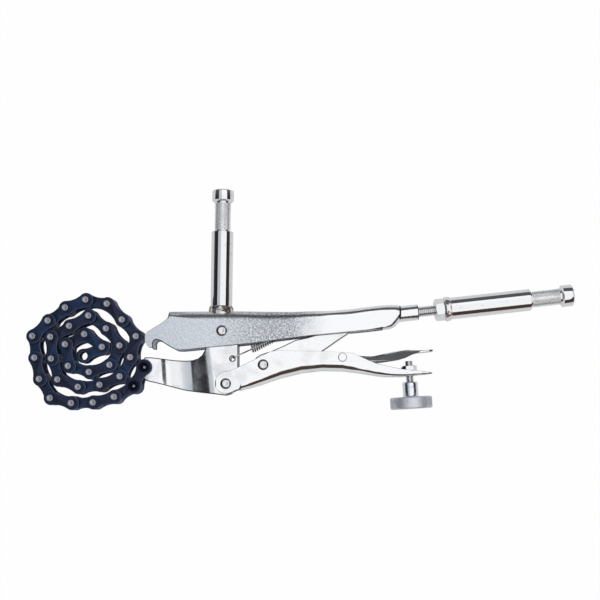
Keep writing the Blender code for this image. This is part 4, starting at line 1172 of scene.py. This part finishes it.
def link_lines():
    """Near pin and far pin of every link, read from the pins of the outer links."""
    pins = {1: centre_of("anchor_link_rivet")}
    for number in range(2, 31, 2):
        verts = frame["nodes"][f"chain_link_{number:02d}"].data.vertices
        ends = [vert.co for vert in verts if vert.co.z > MIDDLE + 12 * MM]
        one = [end for end in ends if (end - ends[0]).length < 7 * MM]
        other = [end for end in ends if (end - ends[0]).length >= 7 * MM]
        spots = [middle_of(one), middle_of(other)]
        spots.sort(key=lambda spot: abs((spot - pins[number - 1]).length - CHAIN_PITCH))
        pins[number], pins[number + 1] = spots
    pins[32] = 2 * centre_of("chain_link_31") - pins[31]
    return pins


def middle_of(spots):
    """Middle of the box round some points, at the tool's middle plane."""
    along = [spot.x for spot in spots]
    across = [spot.y for spot in spots]
    return Vector(((min(along) + max(along)) / 2, (min(across) + max(across)) / 2, MIDDLE))


def along_link(near, far):
    """Place of a link's shape from one pin towards the next."""
    way = far - near
    return Matrix.Translation(near) @ Matrix.Rotation(math.atan2(way.y, way.x), 4, "Z")


class CLAMP_OT_chain(bpy.types.Operator):
    """Make the chain's inner and outer links"""

    bl_idname = "chain_clamp.chain"
    bl_label = "Chain links"

    def execute(self, context):
        sizes = context.scene.clamp_chain
        pins = link_lines()
        bore = sizes.pin_radius + 0.1 * MM
        finishes = ["black oxide", "worn oxide with painted highlight", "pin steel", "rivet oxide"]
        for number in range(1, 32):
            if number % 2:
                filled, wall = (0, sizes.pitch), 1.0 * MM
                if number == 31:
                    filled, wall = (0,), 0.5 * MM
                inner = bore + (0.55 * MM if number == 1 else 0.0)
                bm = inner_link_shape(sizes, inner, filled, wall)
            else:
                bm = outer_link_shape(sizes)
            spot = along_link(pins[number], pins[number + 1])
            stand_in(f"chain_link_{number:02d}", bm, finishes, spot)
        return {"FINISHED"}


def hollow_rivet_shape(sizes, half, height):
    """Hollow rivet about Z with rolled heads."""
    bore = sizes.rivet_bore
    head = sizes.rivet_radius
    shank = 3.1 * MM
    neck = half - height
    floor = half - 4.5 * MM
    side = [
        (shank, 0), (shank, neck), (head - 0.1 * MM, neck),
        (head, neck + 0.45 * height), (0.95 * head, neck + 0.8 * height),
        (0.86 * head, half), (bore + 0.35 * MM, half - 0.1 * height),
        (bore, half - 0.6 * height), (bore, floor), (0.5 * bore, floor - 0.6 * MM),
        (0, floor - 0.8 * MM),
    ]
    bm = both_ways(side, 40)
    # The middle of the bore's floor takes the lighter pin steel: a painted highlight for the glint seen down the
    # bore
    for face in bm.faces:
        low = min(abs(vert.co.z) for vert in face.verts)
        if low < floor and max(vert.co.xy.length for vert in face.verts) < 0.6 * bore:
            face.material_index = 1
    return shade(bm, 50)


class CLAMP_OT_anchor(bpy.types.Operator):
    """Make the anchor plates and the two hollow rivets"""

    bl_idname = "chain_clamp.anchor"
    bl_label = "Chain anchor"

    def execute(self, context):
        sizes = context.scene.clamp_chain
        spot = along_link(centre_of("chain_anchor_rivet"), centre_of("anchor_link_rivet"))
        back = sizes.roller_half + sizes.sheet + sizes.gap
        ends = {"anchor_plate_front": back, "anchor_plate_back": -back - sizes.sheet}
        for node, low in ends.items():
            bm = plate_shape(sizes, sizes.anchor_radius, ANCHOR_BORE)
            stand_in(node, bm, ["black oxide", "worn oxide with painted highlight"], spot @ raised(low))
        for node in ("chain_anchor_rivet", "anchor_link_rivet"):
            low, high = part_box(node)
            bm = hollow_rivet_shape(sizes, (high.z - low.z) / 2, 0.8 * MM)
            place = Matrix.Translation((low + high) / 2)
            # The pin steel lights the middle of each bore's floor: a painted highlight
            stand_in(node, bm, ["rivet oxide", "pin steel"], place)
        return {"FINISHED"}


# Outer ends and depth of the light panels, half the floor, the camera, all in metres
LEFT_END = -1.08
RIGHT_END = 1.30
PANEL_DEPTH = 2.5
FLOOR_HALF = 3.0
CAMERA_PLACE = (-0.0011, -0.0851, 0.8205)
# Share of plain white in the floor, as the camera and as polished metal see it
CAMERA_WHITE = 0.985
METAL_WHITE = 0.45
WHITE = (1.0, 1.0, 1.0)


def panel(name, low_x, high_x, height, level, tint):
    """Soft light panel overhead."""
    light = bpy.data.lights.new(name, "AREA")
    light.shape = "RECTANGLE"
    light.size = high_x - low_x
    light.size_y = PANEL_DEPTH
    light.color = tint
    light.energy = math.pi * (high_x - low_x) * PANEL_DEPTH * level
    holder = bpy.data.objects.new(name, light)
    holder.location = ((low_x + high_x) / 2, 0, height)
    holder.visible_camera = False
    bpy.context.scene.collection.objects.link(holder)


def ground_finish(tone):
    """Pale floor that the camera sees as white and metal sees as light grey."""
    material, start = new_finish("ground")
    mottle = cloud(place_of(start), 30.0)
    tint = mottle.blend(tone, shaded(tone, 0.97))
    plain = start.node("BsdfDiffuse", {}, {"Color": tint})
    white = start.node("Emission", {}, {"Color": opaque(WHITE), "Strength": 1.0})
    seen = start.node("LightPath", {}, {}, 0)
    glossy = start.node("LightPath", {}, {}, 3)
    through = start.node("LightPath", {}, {}, 6)
    share = (seen + through) * CAMERA_WHITE + glossy * METAL_WHITE
    start.node("MixShader", {}, {0: share, 1: plain, 2: white}).show("OutputMaterial")
    return material


def surroundings():
    """Dark room for reflections, white for the camera."""
    world = bpy.data.worlds.new("room")
    world.use_nodes = True
    world.node_tree.nodes.clear()
    start = Signal(world.node_tree)
    way = start.node("TexCoord", {}, {}, 0)
    rise = start.node("SeparateXYZ", {}, {"Vector": way}, 2)
    depth = start.node("SeparateXYZ", {}, {"Vector": way}, 1)
    low, middle, high = (0.45, 0.45, 0.46), (0.06, 0.055, 0.05), (0.022, 0.020, 0.023)
    stops = ((0.0, low), (0.03, middle), (0.45, high))
    dark = start.node("ValToRGB", {"stops": stops}, {"Fac": rise})
    over_floor = rise.clipped(0.02, 0.06)
    behind = over_floor * depth.clipped(0.25, 0.6)
    dark = behind.blend(dark, (0.095, 0.095, 0.10))
    front = over_floor * (1 - depth.clipped(-0.6, -0.25))
    dark = front.blend(dark, (0.065, 0.043, 0.034))
    room = start.node("Background", {}, {"Color": dark, "Strength": 1.0})
    white = start.node("Background", {}, {"Color": opaque(WHITE), "Strength": 1.0})
    seen = start.node("LightPath", {}, {}, 0)
    through = start.node("LightPath", {}, {}, 6)
    start.node("MixShader", {}, {0: seen + through, 1: room, 2: white}).show("OutputWorld")
    return world


class CLAMP_OT_stage(bpy.types.Operator):
    """Make the floor, the light panels, the room and the camera"""

    bl_idname = "chain_clamp.stage"
    bl_label = "Stage"

    def execute(self, context):
        scene = context.scene
        settings = scene.clamp_stage
        bm = bmesh.new()
        bmesh.ops.create_grid(bm, x_segments=1, y_segments=1, size=FLOOR_HALF)
        mesh = bpy.data.meshes.new("floor")
        bm.to_mesh(mesh)
        bm.free()
        mesh.materials.append(ground_finish(settings.ground[:]))
        floor = bpy.data.objects.new("floor", mesh)
        scene.collection.objects.link(floor)
        high = settings.panel_height
        edge = settings.panel_edge
        panel("left panel", LEFT_END, edge, high, settings.left_level, settings.panel_tint[:])
        panel("right panel", edge, RIGHT_END, high, settings.right_level, WHITE)
        scene.world = surroundings()
        view = bpy.data.cameras.new("camera")
        view.lens = settings.lens
        view.sensor_width = 36.0
        view.shift_y = settings.shift
        view.clip_start = 0.01
        holder = bpy.data.objects.new("camera", view)
        holder.location = CAMERA_PLACE
        scene.collection.objects.link(holder)
        scene.camera = holder
        scene.view_settings.view_transform = "Standard"
        return {"FINISHED"}


OPERATORS = (
    CLAMP_OT_pressed,
    CLAMP_OT_rivets,
    CLAMP_OT_spigots,
    CLAMP_OT_screws,
    CLAMP_OT_lock,
    CLAMP_OT_spring,
    CLAMP_OT_chain,
    CLAMP_OT_anchor,
    CLAMP_OT_stage,
)
GROUPS = {
    "clamp_pressed": PressedSizes,
    "clamp_rivets": RivetSizes,
    "clamp_spigots": SpigotSizes,
    "clamp_screws": ScrewSizes,
    "clamp_spring": SpringSizes,
    "clamp_chain": ChainSizes,
    "clamp_colours": FinishColours,
    "clamp_stage": StageSettings,
}


class CLAMP_PT_sidebar(bpy.types.Panel):
    """Sizes, colours and makers of the clamp"""

    bl_idname = "CLAMP_PT_sidebar"
    bl_label = "Chain clamp"
    bl_space_type = "VIEW_3D"
    bl_region_type = "UI"
    bl_category = "Chain clamp"

    def draw(self, context):
        for operator in OPERATORS:
            self.layout.operator(operator.bl_idname)
        for name, group in GROUPS.items():
            box = self.layout.box()
            for prop in group.__annotations__:
                box.prop(getattr(context.scene, name), prop)


def register():
    for group in GROUPS.values():
        bpy.utils.register_class(group)
    for name, group in GROUPS.items():
        setattr(bpy.types.Scene, name, bpy.props.PointerProperty(type=group))
    for operator in OPERATORS:
        bpy.utils.register_class(operator)
    bpy.utils.register_class(CLAMP_PT_sidebar)


def unregister():
    bpy.utils.unregister_class(CLAMP_PT_sidebar)
    for operator in reversed(OPERATORS):
        bpy.utils.unregister_class(operator)
    for name, group in GROUPS.items():
        delattr(bpy.types.Scene, name)
        bpy.utils.unregister_class(group)


def plain(bounds):
    return [[float(value) for value in corner] for corner in bounds]


def main():
    register()
    bpy.ops.chain_clamp.pressed()
    bpy.ops.chain_clamp.rivets()
    bpy.ops.chain_clamp.spigots()
    bpy.ops.chain_clamp.screws()
    bpy.ops.chain_clamp.lock()
    bpy.ops.chain_clamp.spring()
    bpy.ops.chain_clamp.chain()
    bpy.ops.chain_clamp.anchor()
    bpy.ops.chain_clamp.stage()


if __name__ == "__main__":
    main()
